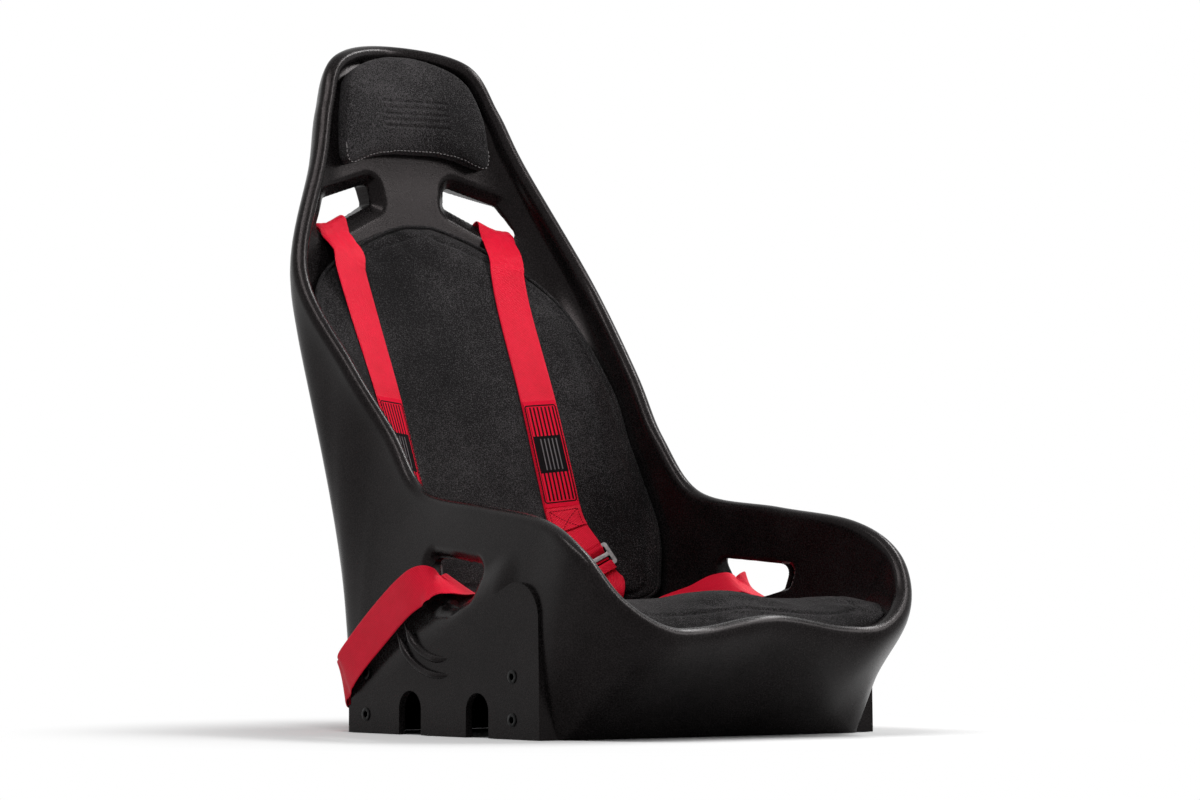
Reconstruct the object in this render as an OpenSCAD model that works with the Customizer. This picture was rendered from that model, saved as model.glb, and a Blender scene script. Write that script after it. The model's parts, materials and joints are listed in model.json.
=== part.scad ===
// Bucket seat: a one-piece double-walled moulded shell, three soft pads and a
// four-point webbing harness with a push-button buckle.
// Frame: the seat stands on z = 0 and faces -Y. x = 0 is its plane of symmetry,
// and y = 0 is midway between the front and rear mounting holes.

/* [Shell] */
// Wall thickness of the moulded shell
wall = 5; // [3:0.5:7]
// Half the width over the two flat mounting panels
panel_x = 252; // [246:1:258]
// Height of the mounting panels at their rounded front corner
panel_top = 181; // [150:1:200]
// Width of an arched notch in the bottom edge
notch_w = 44; // [30:1:60]
// Height of an arched notch
notch_h = 52; // [35:1:70]

/* [Mounting holes] */
// Distance between the front and rear holes
hole_spacing_y = 290; // [280:1:300]
// Distance between the upper and lower holes
hole_spacing_z = 50; // [40:1:60]
// Height of the lower holes above the floor
hole_low_z = 22; // [18:1:30]
// Bore radius of the M8 inserts
insert_bore_r = 4; // [3:0.1:5]

/* [Pads] */
// Thickness of the back pad at its crown
back_pad_t = 21; // [14:1:30]
// Thickness of the head pad at its crown
head_pad_t = 22; // [12:1:28]

/* [Harness] */
// Width of the webbing
web_w = 50; // [38:1:52]
// Thickness of the webbing
web_t = 1.8; // [1.2:0.1:2]

/* [Hidden] */
eps = 0.01;
black_plastic = "#1c1b1c";
black_cloth = "#151415";
webbing_red = "#d5183c";
steel_grey = "#8d8f92";

// ---- curves ----------------------------------------------------------------

function flip(p) = is_num(p) ? p : [-p[0], for (i = [1:len(p) - 1]) p[i]];
function cubic(a, b, c, d, f) =
    0.5 * (2 * b + (c - a) * f + (2 * a - 5 * b + 4 * c - d) * f * f
           + (3 * b - 3 * c + d - a) * f * f * f);
// An entry of a half list that carries on as its own mirror image past both ends.
function at(L, i) = let (n = len(L) - 1) i < 0 ? flip(L[-i]) : i > n ? flip(L[2 * n - i]) : L[i];
// Catmull-Rom curve through such a half list, t in index units.
function sym(L, t) =
    let (i = min(floor(t), len(L) - 2))
    cubic(at(L, i - 1), at(L, i), at(L, i + 1), at(L, i + 2), t - i);
// Catmull-Rom curve through an open list, its ends running on straight.
function along(L, u) =
    let (n = len(L) - 1, v = max(0, min(u, n)), i = min(floor(v), n - 1),
         b = L[i], c = L[i + 1],
         a = i == 0 ? 2 * b - c : L[i - 1], d = i == n - 1 ? 2 * c - b : L[i + 2])
    cubic(a, b, c, d, v - i);
function unit(v) = v / norm(v);
function ease(x) = let (c = max(0, min(1, x))) c * c * (3 - 2 * c);
function side(x) = x < 0 ? -1 : 1;

// ---- the shell's form --------------------------------------------------------
// Half of the rolled rim, from the middle of the head (0) to the middle of the
// front edge (14): each row is a point [x, y, z] on the crest of the roll.
rim_line = [
    [0, 458, 854], [99, 427, 835], [133, 406, 775], [159, 383, 705], [224, 329, 558],
    [222, 232, 437], [212, 164, 355], [217, 90, 282], [231, -52, 261], [239, -179, 244],
    [240, -252, 208], [218, -294, 155], [165, -314, 121], [103, -313, 118], [0, -312, 131]
];
// The way the roll faces at each of those points: degrees from -Y up towards +Z.
rim_tilt = [20, 20, 10, 12, 22, 35, 45, 62, 84, 88, 84, 80, 80, 80, 80];
// Radius of the roll, and how far its centre lies inboard of the crest line.
rim_r = [10, 10, 10, 10, 10, 10, 10, 10, 10, 10, 11, 12, 12, 12, 12];
rim_inboard = [5, 5, 4, 4, 3, 4, 6, 6, 6, 5, 4, 4, 3, 3, 3];
// How far round the back of the roll the outer skin leaves it, in degrees.
skin_turn = [15, 15, 12, 8, 10, 12, 5, 0, 0, 0, 0, 0, 0, 0, 0];
// How far the outer skin keeps its first direction.
skin_reach = [95, 95, 80, 60, 50, 70, 65, 50, 60, 60, 45, 35, 25, 25, 25];
// Where the outer skin meets the floor, [x, y], for the same 15 stations.
floor_line = [
    [0, 203], [45, 203], [85, 203], [135, 203], [195, 203], [236, 193], [248, 172],
    [249, 120], [249, -20], [247, -120], [230, -188], [206, -208], [150, -210],
    [60, -211], [0, -211]
];
// Lean of the skin where it meets the floor, [x, y] per unit of height.
floor_lean = [
    [0, 0.35], [0, 0.35], [0, 0.34], [0, 0.32], [0, 0.25], [0, 0.1], [0.02, 0],
    [0.03, 0], [0.03, 0], [0.06, 0], [0.18, -0.3], [0.12, -0.45], [0.05, -0.7],
    [0.03, -0.7], [0, -0.7]
];
// How far up the skin keeps that lean.
floor_rise = [560, 540, 470, 400, 300, 150, 130, 120, 110, 100, 110, 80, 60, 60, 60];
// The bucket's inner skin, row by row from head to front edge:
// [station on the rim, y and z of the middle, squareness of the cross-section].
bucket_rows = [
    [0.8, 461, 850, 2.4], [1.2, 446, 836, 2.6], [2, 416, 770, 3.2], [3, 403, 675, 3.0],
    [4, 379, 548, 2.4], [5, 325, 415, 2.5], [6, 280, 298, 2.7], [7, 243, 205, 3.0],
    [7.6, 190, 112, 3.4], [8.2, 90, 74, 3.6], [9, -60, 74, 3.6], [9.7, -160, 94, 3.2],
    [10.3, -225, 114, 2.8], [10.8, -262, 131, 2.6]
];
last_row = len(bucket_rows) - 1;
top_station = bucket_rows[0][0];
front_station = bucket_rows[last_row][0];
lip_angle = -25;      // where the bucket's skin leaves the roll
blend_rows = 1.6;     // rows over which the bucket's ends ease into the rim

// The roll's own axes at a station: [along, outwards, the way it faces].
function rim_axes(t) =
    let (T = unit(sym(rim_line, t + 0.001) - sym(rim_line, t - 0.001)),
         a = sym(rim_tilt, t), U = [0, -cos(a), sin(a)], N = unit(cross(U, T)))
    [T, N, cross(T, N)];
function rim_centre(t, A) = sym(rim_line, t) - A[1] * sym(rim_inboard, t);
// A point on the roll: angle 0 is inboard, 90 the crest, 180 outboard.
function on_roll(t, angle, less = 0) =
    let (A = rim_axes(t), r = sym(rim_r, t) - less)
    rim_centre(t, A) + r * (A[2] * sin(angle) - A[1] * cos(angle));

// The bucket's skin before its two ends are eased into the rim.
function bucket_raw(u, s) =
    let (R = along(bucket_rows, u), E = on_roll(R[0], lip_angle), a = 90 * abs(s), p = 2 / R[3],
         k = abs(s) >= 1 ? 1 : 1 - pow(cos(a), p))
    [side(s) * E[0] * pow(sin(a), p), R[1] + (E[1] - R[1]) * k, R[2] + (E[2] - R[2]) * k];
function rim_row(s, end) =
    let (p = on_roll(end == 0 ? top_station * abs(s) : 14 - (14 - front_station) * abs(s), lip_angle))
    [side(s) * p[0], p[1], p[2]];
function bucket(u, s) =
    let (a = ease(1 - u / blend_rows), b = ease(1 - (last_row - u) / blend_rows))
    bucket_raw(u, s)
    + (a > 0 ? a * (rim_row(s, 0) - bucket_raw(0, s)) : [0, 0, 0])
    + (b > 0 ? b * (rim_row(s, 1) - bucket_raw(last_row, s)) : [0, 0, 0]);
// The skin's normal, pointing into the bucket.
function bucket_normal(u, s) =
    let (d = 0.02, u0 = max(0, u - d), u1 = min(last_row, u + d), s0 = max(-1, s - d), s1 = min(1, s + d))
    unit(cross(bucket(u1, s) - bucket(u0, s), bucket(u, s1) - bucket(u, s0)));
// A point held off the bucket's skin.
function off_bucket(u, s, lift) = bucket(u, s) + lift * bucket_normal(u, s);

// The outer skin: v runs from 0 at the roll to 1 at the floor.
function skin(t, v) =
    let (A = rim_axes(t), a = sym(skin_turn, t), r = sym(rim_r, t),
         P = rim_centre(t, A) + r * (A[1] * cos(a) - A[2] * sin(a)),
         D = -(A[2] * cos(a) + A[1] * sin(a)), F2 = sym(floor_line, t), F = [F2[0], F2[1], 0],
         L = sym(floor_lean, t), Q = P + D * sym(skin_reach, t),
         R = F + unit([L[0], L[1], 1]) * sym(floor_rise, t), w = 1 - v)
    w * w * w * P + 3 * w * w * v * Q + 3 * w * v * v * R + v * v * v * F;
function skin_normal(t, v) =
    let (d = 0.02, v0 = max(0, v - d), v1 = min(1, v + d))
    unit(cross(skin(t + d, v) - skin(t - d, v), skin(t, v1) - skin(t, v0)));
function skin_in(t, v, depth) =
    let (p = skin(t, v) - depth * skin_normal(t, v))
    v >= 1 ? [p[0], p[1], 0] : p;

// ---- closed meshes -------------------------------------------------------------

// The loop round a grid of rows and columns, as [station on the rim, side].
function rim_stations(rows, cols) = [
    for (j = [0:cols - 1]) let (s = -1 + 2 * j / cols) [top_station * abs(s), side(s)],
    for (i = [0:rows - 1]) [along(bucket_rows, last_row * i / rows)[0], 1],
    for (j = [0:cols - 1]) let (s = 1 - 2 * j / cols) [14 - (14 - front_station) * abs(s), side(s)],
    for (i = [0:rows - 1]) [along(bucket_rows, last_row * (rows - i) / rows)[0], -1]
];
// The same loop as vertex numbers of the grid.
function rim_loop(rows, cols) = let (n = cols + 1) [
    for (j = [0:cols - 1]) j,
    for (i = [0:rows - 1]) i * n + cols,
    for (j = [0:cols - 1]) rows * n + cols - j,
    for (i = [0:rows - 1]) (rows - i) * n
];
function mirrored_to(p, k) = [k * p[0], p[1], p[2]];
// A closed solid: a grid sheet, then rings that hang from its edge, then a flat end.
module sheet_and_rings(rows, cols, sheet, rings) {
    n = cols + 1;
    base = (rows + 1) * n;
    loop = rim_loop(rows, cols);
    k = len(loop);
    grid = [
        for (i = [0:rows - 1]) for (j = [0:cols - 1]) let (a = i * n + j)
            each [[a, a + 1, a + n + 1], [a, a + n + 1, a + n]]
    ];
    first = [
        for (j = [0:k - 1]) let (m = (j + 1) % k)
            each [[loop[j], base + j, base + m], [loop[j], base + m, loop[m]]]
    ];
    walls = [
        for (r = [0:len(rings) - 2]) for (j = [0:k - 1])
            let (m = (j + 1) % k, a = base + r * k, b = a + k)
            each [[a + j, b + j, b + m], [a + j, b + m, a + m]]
    ];
    end = [[for (j = [k - 1:-1:0]) base + (len(rings) - 1) * k + j]];
    polyhedron(points = [each sheet, for (r = rings) each r],
               faces = concat(grid, first, walls, end), convexity = 10);
}
// A closed solid through loops of points, each end a flat face or a single point.
module loops(rings) {
    n = len(rings[1]);
    last = len(rings) - 1;
    from = [for (r = 0, a = 0; r <= last; a = a + len(rings[r]), r = r + 1) a];
    sides = [
        for (r = [0:last - 1], j = [0:n - 1])
            let (m = (j + 1) % n, a = from[r], b = from[r + 1])
            if (len(rings[r]) == 1)
                [a, b + j, b + m]
            else if (len(rings[r + 1]) == 1)
                [a + j, b, a + m]
            else
                each [[a + j, b + j, b + m], [a + j, b + m, a + m]]
    ];
    ends = [
        if (len(rings[0]) > 1) [for (j = [0:n - 1]) j],
        if (len(rings[last]) > 1) [for (j = [n - 1:-1:0]) from[last] + j]
    ];
    polyhedron(points = [for (r = rings) each r], faces = concat(sides, ends), convexity = 8);
}
// A closed solid between two grids of points, with walls round the edge.
module between(top, bottom) {
    rows = len(top) - 1;
    cols = len(top[0]) - 1;
    n = cols + 1;
    base = (rows + 1) * n;
    loop = rim_loop(rows, cols);
    k = len(loop);
    faces = concat(
        [for (i = [0:rows - 1]) for (j = [0:cols - 1]) let (a = i * n + j)
            each [[a, a + 1, a + n + 1], [a, a + n + 1, a + n]]],
        [for (i = [0:rows - 1]) for (j = [0:cols - 1]) let (a = base + i * n + j)
            each [[a, a + n + 1, a + 1], [a, a + n, a + n + 1]]],
        [for (j = [0:k - 1]) let (a = loop[j], b = loop[(j + 1) % k])
            each [[a, base + b, b], [a, base + a, base + b]]]
    );
    polyhedron(points = [for (r = top) each r, for (r = bottom) each r], faces = faces, convexity = 8);
}
module on_side(right) {
    if (right)
        mirror([1, 0, 0]) children();
    else
        children();
}

// ---- the shell -------------------------------------------------------------------

curtain = 55;         // how far the dividing surface runs out past the rim
insert_r = 5.8;       // barrel of a threaded insert
slab_t = 27;          // depth of a mounting panel's block, most of it inside the shell
slab_rear = 180;      // where the panel meets the round of the back
slab_front = -196;
slab_r = 42;          // its rounded front corner

// The shell as if it were solid.
module shell_block(rows = 30, cols = 18, roll_steps = 4, skin_steps = 8) {
    st = rim_stations(rows, cols);
    sheet = [for (i = [0:rows]) for (j = [0:cols]) bucket(last_row * i / rows, -1 + 2 * j / cols)];
    roll = [
        for (q = [1:roll_steps]) [
            for (c = st) let (a = 180 + sym(skin_turn, c[0]))
                mirrored_to(on_roll(c[0], lip_angle + (a - lip_angle) * q / roll_steps), c[1])
        ]
    ];
    skins = [for (q = [1:skin_steps]) [for (c = st) mirrored_to(skin(c[0], q / skin_steps), c[1])]];
    sheet_and_rings(rows, cols, sheet, concat(roll, skins));
}
// Everything that lies behind the bucket's wall.
module behind_bucket(rows = 20, cols = 12) {
    st = rim_stations(rows, cols);
    sheet = [
        for (i = [0:rows]) for (j = [0:cols])
            off_bucket(last_row * i / rows, -1 + 2 * j / cols, -wall)
    ];
    out = [
        for (c = st) let (A = rim_axes(c[0]))
            mirrored_to(rim_centre(c[0], A) + curtain * A[1], c[1])
    ];
    down = [for (c = st) let (f = 2.2 * sym(floor_line, c[0])) [c[1] * f[0], f[1], -1]];
    sheet_and_rings(rows, cols, sheet, [out, down]);
}
// Everything inside the outer skin's wall.
module inside_skin(rows = 20, cols = 12, skin_steps = 7) {
    st = rim_stations(rows, cols);
    sheet = [
        for (i = [0:rows]) for (j = [0:cols])
            let (s = -1 + 2 * j / cols, e = i == 0 || i == rows || j == 0 || j == cols)
            off_bucket(last_row * i / rows, s, e ? 0 : 14)
    ];
    middle = [for (c = st) mirrored_to(rim_centre(c[0], rim_axes(c[0])), c[1])];
    skins = [
        for (q = [0:skin_steps])
            [for (c = st) mirrored_to(skin_in(c[0], 0.05 + 0.95 * q / skin_steps, wall), c[1])]
    ];
    below = [for (p = skins[skin_steps]) [p[0], p[1], -1]];
    sheet_and_rings(rows, cols, sheet, concat([middle], skins, [below]));
}
// Outline of a shoulder slot in x and z, as rounded corners [x, z, r].
shoulder_slot = [[62, 680, 8], [60, 658, 8], [142, 656, 8], [164, 623, 9]];
slot_turn = -14;      // the slot's dish follows the turn of the back
slot_front = [105, 392];
// Outline of a lap slot in y and z.
lap_slot = [[38, 204, 10], [-62, 189, 14], [-50, 176, 13], [-15, 166, 15], [10, 166, 15]];
module shoulder_cut(y0, y1, more0, more1) {
    hull()
        for (c = shoulder_slot)
            translate([c[0], 0, c[1]]) rotate([-90, 0, 0]) {
                translate([0, 0, y0]) cylinder(r = c[2] + more0, h = 0.1, $fn = 20);
                translate([0, 0, y1]) cylinder(r = c[2] + more1, h = 0.1, $fn = 20);
            }
}
module shoulder_dish() {
    translate([slot_front[0], slot_front[1], 0]) rotate([0, 0, slot_turn]) translate([-slot_front[0], 0, 0])
        shoulder_cut(-9, 9, 13, 0);
}
module lap_cut(x0, x1, more0, more1) {
    hull()
        for (c = lap_slot)
            translate([0, c[0], c[1]]) rotate([0, 90, 0]) {
                translate([0, 0, x0]) cylinder(r = c[2] + more0, h = 0.1, $fn = 20);
                translate([0, 0, x1]) cylinder(r = c[2] + more1, h = 0.1, $fn = 20);
            }
}
// Flat panel that carries the mounting holes, with its rounded front corner.
module side_slab() {
    translate([panel_x - slab_t, 0, 0]) rotate([90, 0, 90])
        hull() {
            translate([slab_front, 0]) linear_extrude(slab_t) square([slab_rear - slab_front, 60]);
            translate([slab_front + slab_r + 2, panel_top - slab_r, 0])
                cylinder(r = slab_r, h = slab_t, $fn = 48);
            translate([60, 100, 0]) cylinder(r = 30, h = slab_t, $fn = 24);
        }
}
notch_y = [-77, 56];  // middles of the arched notches
module notch(y) {
    translate([190, y, 0]) rotate([90, 0, 90])
        hull() {
            translate([0, notch_h - notch_w / 2, 0]) cylinder(d = notch_w, h = 80, $fn = 28);
            translate([-notch_w / 2, -1, 0]) cube([notch_w, 1, 80]);
        }
}
module shell_cuts() {
    shoulder_cut(330, 500, 0, 0);
    shoulder_dish();
    lap_cut(180, 270, 0, 0);
    lap_cut(panel_x - 9, panel_x + 6, 0, 9);
    for (y = notch_y)
        notch(y);
    for (y = [-1, 1], z = [0, 1])
        translate([panel_x - 30, y * hole_spacing_y / 2, hole_low_z + z * hole_spacing_z]) rotate([0, 90, 0])
            cylinder(r = insert_r + 0.25, h = 40, $fn = 20);
    on_rear_wall() translate([0, 0, -40]) cylinder(r = bolt_r + 0.3, h = 60, $fn = 24);
}
module seat_shell() {
    color(black_plastic)
        difference() {
            union() {
                shell_block();
                for (right = [false, true]) on_side(right) side_slab();
            }
            difference() {
                intersection() {
                    behind_bucket();
                    inside_skin();
                }
                for (right = [false, true]) on_side(right) {
                    shoulder_cut(330, 500, wall, wall);
                    lap_cut(180, 270, wall, wall);
                }
            }
            for (right = [false, true]) on_side(right) shell_cuts();
        }
}
// Threaded inserts of one panel: a barrel in the wall and a collar on its face.
module mount_inserts(right) {
    color(steel_grey) on_side(right)
        for (y = [-1, 1], z = [0, 1])
            translate([panel_x, y * hole_spacing_y / 2, hole_low_z + z * hole_spacing_z]) rotate([0, 90, 0])
                difference() {
                    union() {
                        translate([0, 0, -16]) cylinder(r = insert_r, h = 16, $fn = 48);
                        cylinder(r = 8, h = 1.2, $fn = 48);
                    }
                    translate([0, 0, -17]) cylinder(r = insert_bore_r, h = 20, $fn = 48);
                }
}

// ---- pads --------------------------------------------------------------------------

pad_gap = 3.2;        // room under a pad for its hook strips
strip_gap = 1.4;      // a strip's underside above the bucket's skin
strip_t = 1;
// The place (u, s) on the bucket that has a given x and a given y (axis 1) or z (axis 2).
function locate(x, c, axis, u, s, n = 9) =
    n == 0 ? [u, s]
    : let (e = 0.004, p = bucket(u, s), a = (bucket(u + e, s) - p) / e, b = (bucket(u, s + e) - p) / e,
           fx = x - p[0], fc = c - p[axis], det = a[0] * b[axis] - a[axis] * b[0],
           du = (fx * b[axis] - b[0] * fc) / det, ds = (a[0] * fc - a[axis] * fx) / det)
      locate(x, c, axis, max(0.05, min(last_row - 0.05, u + max(-1, min(1, du)))),
             max(-0.98, min(0.98, s + max(-0.3, min(0.3, ds)))), n - 1);
// A closed Catmull-Rom curve through a list of points.
function round_trip(L, t) = let (n = len(L), i = floor(t))
    cubic(L[(i + n - 1) % n], L[i % n], L[(i + 1) % n], L[(i + 2) % n], t - i);
// Half outlines as [x, z] from the lowest middle point round to the highest one.
back_pad_half = [
    [0, 152], [120, 151], [185, 157], [196, 190], [198, 268], [197, 356], [205, 408], [207, 453],
    [204, 492], [193, 525], [164, 559], [109, 593], [39, 620], [0, 625]
];
head_pad_half = [[0, 717], [60, 713], [104, 704], [106, 750], [92, 805], [50, 829], [0, 834]];
// Start of the search for a height z: rows fall from head to seat.
function row_near(z) = z > 675 ? 2.8 : z > 415 ? 5 - (z - 415) / 130 : 7.4 - (z - 150) / 110;
function pad_outline(half, steps) =
    let (n = len(half) - 1,
         all = [for (p = half) p, for (i = [n - 1:-1:1]) [-half[i][0], half[i][1]]],
         places = [for (p = all) locate(p[0], p[1], 2, row_near(p[1]), p[0] / 230)])
    [for (k = [0:len(places) * steps - 1]) round_trip(places, k / steps)];
// A pad lying on the bucket: its edge stands `rim` high and its crown t high.
module pad(half, middle, t, edge, steps = 2) {
    line = pad_outline(half, steps);
    centre = locate(0, middle, 2, row_near(middle), 0);
    under = [0.3, 0.55, 0.8, 1];
    over = [1, 0.975, 0.92, 0.82, 0.66, 0.45, 0.22];
    function ring(f, lift) =
        [for (p = line) let (q = centre + f * (p - centre)) off_bucket(q[0], q[1], lift)];
    function crown(f) = pad_gap + edge + (t - edge) * pow(1 - pow(f, 5), 0.6);
    loops([
        [off_bucket(centre[0], centre[1], pad_gap)],
        for (f = under) ring(f, pad_gap),
        for (f = over) ring(f, crown(f)),
        [off_bucket(centre[0], centre[1], pad_gap + t)]
    ]);
}
module head_pad() {
    color(black_cloth) pad(head_pad_half, 765, head_pad_t - pad_gap, 7, 3);
}
module back_pad() {
    color(black_cloth) pad(back_pad_half, 370, back_pad_t - pad_gap, 6);
}
// The cushion's top, row by row from rear to front:
// [y, half width, middle height, valley height, bolster height].
cushion_rows = [
    [170, 158, 124, 123, 126], [150, 172, 125, 124, 128], [90, 184, 125, 124, 131],
    [0, 196, 132, 127, 143], [-90, 204, 148, 141, 156], [-170, 212, 163, 152, 168],
    [-225, 213, 172, 158, 175], [-262, 208, 163, 152, 167], [-286, 196, 143, 138, 147]
];
function cushion_top(x, row) =
    let (h = row[3] + (row[2] - row[3]) * exp(-pow(x / 52, 2)))
    h + (row[4] - row[3]) * exp(-pow((abs(x) - row[1] + 22) / 34, 2));
module seat_cushion(rows = 16, cols = 20, edge = 5) {
    last = len(cushion_rows) - 1;
    grid = [
        for (i = [0:rows]) let (row = along(cushion_rows, last * i / rows)) [
            for (j = [0:cols])
                let (f = sin(90 * (-1 + 2 * j / cols)), x = f * row[1],
                     q = locate(x, row[0], 1, 9.2 - (row[0] - 60) / 90, x / 230, 12),
                     b = off_bucket(q[0], q[1], pad_gap), e = -1 + 2 * i / rows,
                     r = pow(1 - pow(abs(f), 6), 0.6) * pow(1 - pow(abs(e), 8), 0.6))
                [b, [x, row[0], b[2] + edge + max(0, cushion_top(x, row) - b[2] - edge) * r]]
        ]
    ];
    color(black_cloth)
        between([for (r = grid) [for (c = r) c[1]]], [for (r = grid) [for (c = r) c[0]]]);
}
// Hook strips glued to the shell: a pair mirrored across the middle.
module strip_pair(u0, u1, s0, s1, steps) {
    for (k = [-1, 1])
        between(
            [for (i = [0:steps]) [for (s = k > 0 ? [s0, s1] : [-s1, -s0])
                off_bucket(u0 + (u1 - u0) * i / steps, s, strip_gap + strip_t)]],
            [for (i = [0:steps]) [for (s = k > 0 ? [s0, s1] : [-s1, -s0])
                off_bucket(u0 + (u1 - u0) * i / steps, s, strip_gap)]]
        );
}
module head_pad_hook_strips() {
    color("#2b2b2d") strip_pair(1.5, 2.3, 0.15, 0.26, 6);
}
module back_pad_hook_strips() {
    color("#2b2b2d") strip_pair(4, 6.4, 0.15, 0.22, 14);
}
module cushion_hook_strips() {
    color("#2b2b2d") strip_pair(8.8, 10, 0.12, 0.19, 8);
}

// ---- harness ------------------------------------------------------------------------

// A band of webbing along stations [point, direction across].
module ribbon(path, width, thick, steps = 3) {
    points = [for (p = path) p[0]];
    across = [for (p = path) p[1]];
    loops([
        for (k = [0:(len(path) - 1) * steps])
            let (u = k / steps, T = unit(along(points, u + 0.02) - along(points, u - 0.02)),
                 c = along(across, u), S = unit(c - (c * T) * T), N = cross(T, S), p = along(points, u))
            [for (q = [[1, 1], [-1, 1], [-1, -1], [1, -1]]) p + q[0] * S * width / 2 + q[1] * N * thick / 2]
    ]);
}
// A place lifted off the outer skin's back at a given x and z.
function locate_skin(x, z, t, v, n = 9) =
    n == 0 ? [t, v]
    : let (e = 0.004, p = skin(t, v), a = (skin(t + e, v) - p) / e, b = (skin(t, v + e) - p) / e,
           fx = x - p[0], fz = z - p[2], det = a[0] * b[2] - a[2] * b[0],
           dt = (fx * b[2] - b[0] * fz) / det, dv = (a[0] * fz - a[2] * fx) / det)
      locate_skin(x, z, max(0.5, min(5, t + max(-0.5, min(0.5, dt)))),
                  max(0.01, min(0.99, v + max(-0.2, min(0.2, dv)))), n - 1);
function over_back(x, z, lift) =
    let (q = locate_skin(x, z, 2.9, 1 - z / 860)) skin(q[0], q[1]) + lift * skin_normal(q[0], q[1]);

// A place lifted off the outer skin at a station on the rim and a height.
function height_v(t, z, v = 0.9, n = 8) =
    n == 0 ? v
    : let (p = skin(t, v)[2], q = (skin(t, v + 0.004)[2] - p) / 0.004)
      height_v(t, z, v + (z - p) / q, n - 1);
function over_skin(t, z, lift) = let (v = height_v(t, z)) skin(t, v) + lift * skin_normal(t, v);

// A strap's station on the bucket: the place and the direction across, along the skin.
function on_pad(x, z, lift) =
    let (q = locate(x, z, 2, row_near(z), x / 230))
    [off_bucket(q[0], q[1], lift), unit(bucket(q[0], q[1] + 0.03) - bucket(q[0], q[1] - 0.03))];

// The rear anchors are bolted low on the back; points on one are across, up and out.
anchor_at = over_back(150, 52, 3);
wall_lean = atan((over_back(150, 90, 3)[1] - over_back(150, 20, 3)[1]) / 70);
wall_up = [0, sin(wall_lean), cos(wall_lean)];
wall_out = [0, cos(wall_lean), -sin(wall_lean)];
function anchor_point(x, up, out) = anchor_at + x * [-1, 0, 0] + up * wall_up + out * wall_out;
shoulder_eye = [12, 40];
lap_eye = [-36, -6];

// The adjuster lies on the lower back: its middle, and its axes across, up the strap and outwards.
pad_lift = 25.6;        // height of a strap's middle over the back pad
adjuster_at = on_pad(137, 192, pad_lift + 2)[0];
adjuster_axes = let (up = unit(on_pad(124, 216, 27)[0] - on_pad(145, 170, 27)[0]),
                     across = unit(cross(up, adjuster_at - on_pad(137, 192, 0)[0])))
    [across, up, cross(across, up)];
function adjuster_point(down, out) = adjuster_at - down * adjuster_axes[1] + out * adjuster_axes[2];
strap_x = 117;        // where the shoulder straps run over the back pad
// Left shoulder strap from the rear anchor, up the back, through its slot, down to the adjuster.
shoulder_path = concat(
    [for (q = [[40, 1.5], [40.4, 4.2], [43, 6.2], [48, 6.4], [58, 6]])
        [anchor_point(shoulder_eye[0], q[0], q[1]), [1, 0, 0]]],
    [
        [over_back(136, 160, 6), [1, 0, 0]], [over_back(132, 300, 8), [1, 0, 0]],
        [over_back(128, 450, 9), [1, 0, 0]], [over_back(126, 560, 9), [1, 0, -0.1]],
        [over_back(126, 606, 11), [1, 0, -0.3]], [[127, 420, 626], [0.94, 0, -0.345]],
        [[127, 411, 634], [0.94, -0.05, -0.345]], [[127, 400, 637], [0.94, -0.1, -0.345]],
        [[126, 388, 632], [0.94, -0.15, -0.345]]
    ],
    [for (q = [[126, 612, 5], [124, 600, 12], [122, 586, 20], [119, 566, 24]])
        on_pad(q[0], q[1], q[2])],
    [for (z = [510, 403, 300, 256]) on_pad(strap_x, z, pad_lift)],
    [on_pad(121, 234, pad_lift + 1)],
    [for (q = [[-21, 3.2], [-14, 2.6], [-10, 2.2], [-6.6, 0], [-3.5, -2.6], [0, -2.9], [3.5, -2.5], [5.6, 0]])
        [adjuster_point(q[0], q[1]), adjuster_axes[0]]]
);
module in_adjuster()
    multmatrix([for (i = [0:2]) [each [for (a = adjuster_axes) a[i]], adjuster_at[i]]])
        children();
module shoulder_strap(right) {
    color(webbing_red) on_side(right) ribbon(shoulder_path, web_w, web_t, 2);
}
// A bare woven label sewn on the shoulder strap.
module strap_label(right) {
    path = [for (z = [405, 360, 315, 272]) on_pad(strap_x, z, pad_lift + web_t / 2 + 0.7)];
    color("#27262a") on_side(right) ribbon(path, web_w - 6, 0.8, 3);
}
module rounded(x, y, r) {
    square([x - 2 * r, y], center = true);
    square([x, y - 2 * r], center = true);
    for (i = [-1, 1], j = [-1, 1])
        translate([i * (x / 2 - r), j * (y / 2 - r)]) circle(r = r, $fn = 32);
}
// Three-bar slide: the webbing turns over its middle bar.
module shoulder_adjuster(right) {
    color(steel_grey) on_side(right) in_adjuster()
        translate([0, 0, -1.25]) linear_extrude(2.5)
            difference() {
                rounded(web_w + 13, 31, 4);
                for (k = [-1, 1])
                    translate([0, k * 6.8]) rounded(web_w + 3, 8.4, 1.5);
            }
}
buckle_at = [0, 95, 130];
base_t = 2.5;         // the buckle's base plate
tongue_low = 4;       // underside of the tongue above the base's underside
tongue_top = tongue_low + 2.5;
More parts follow.
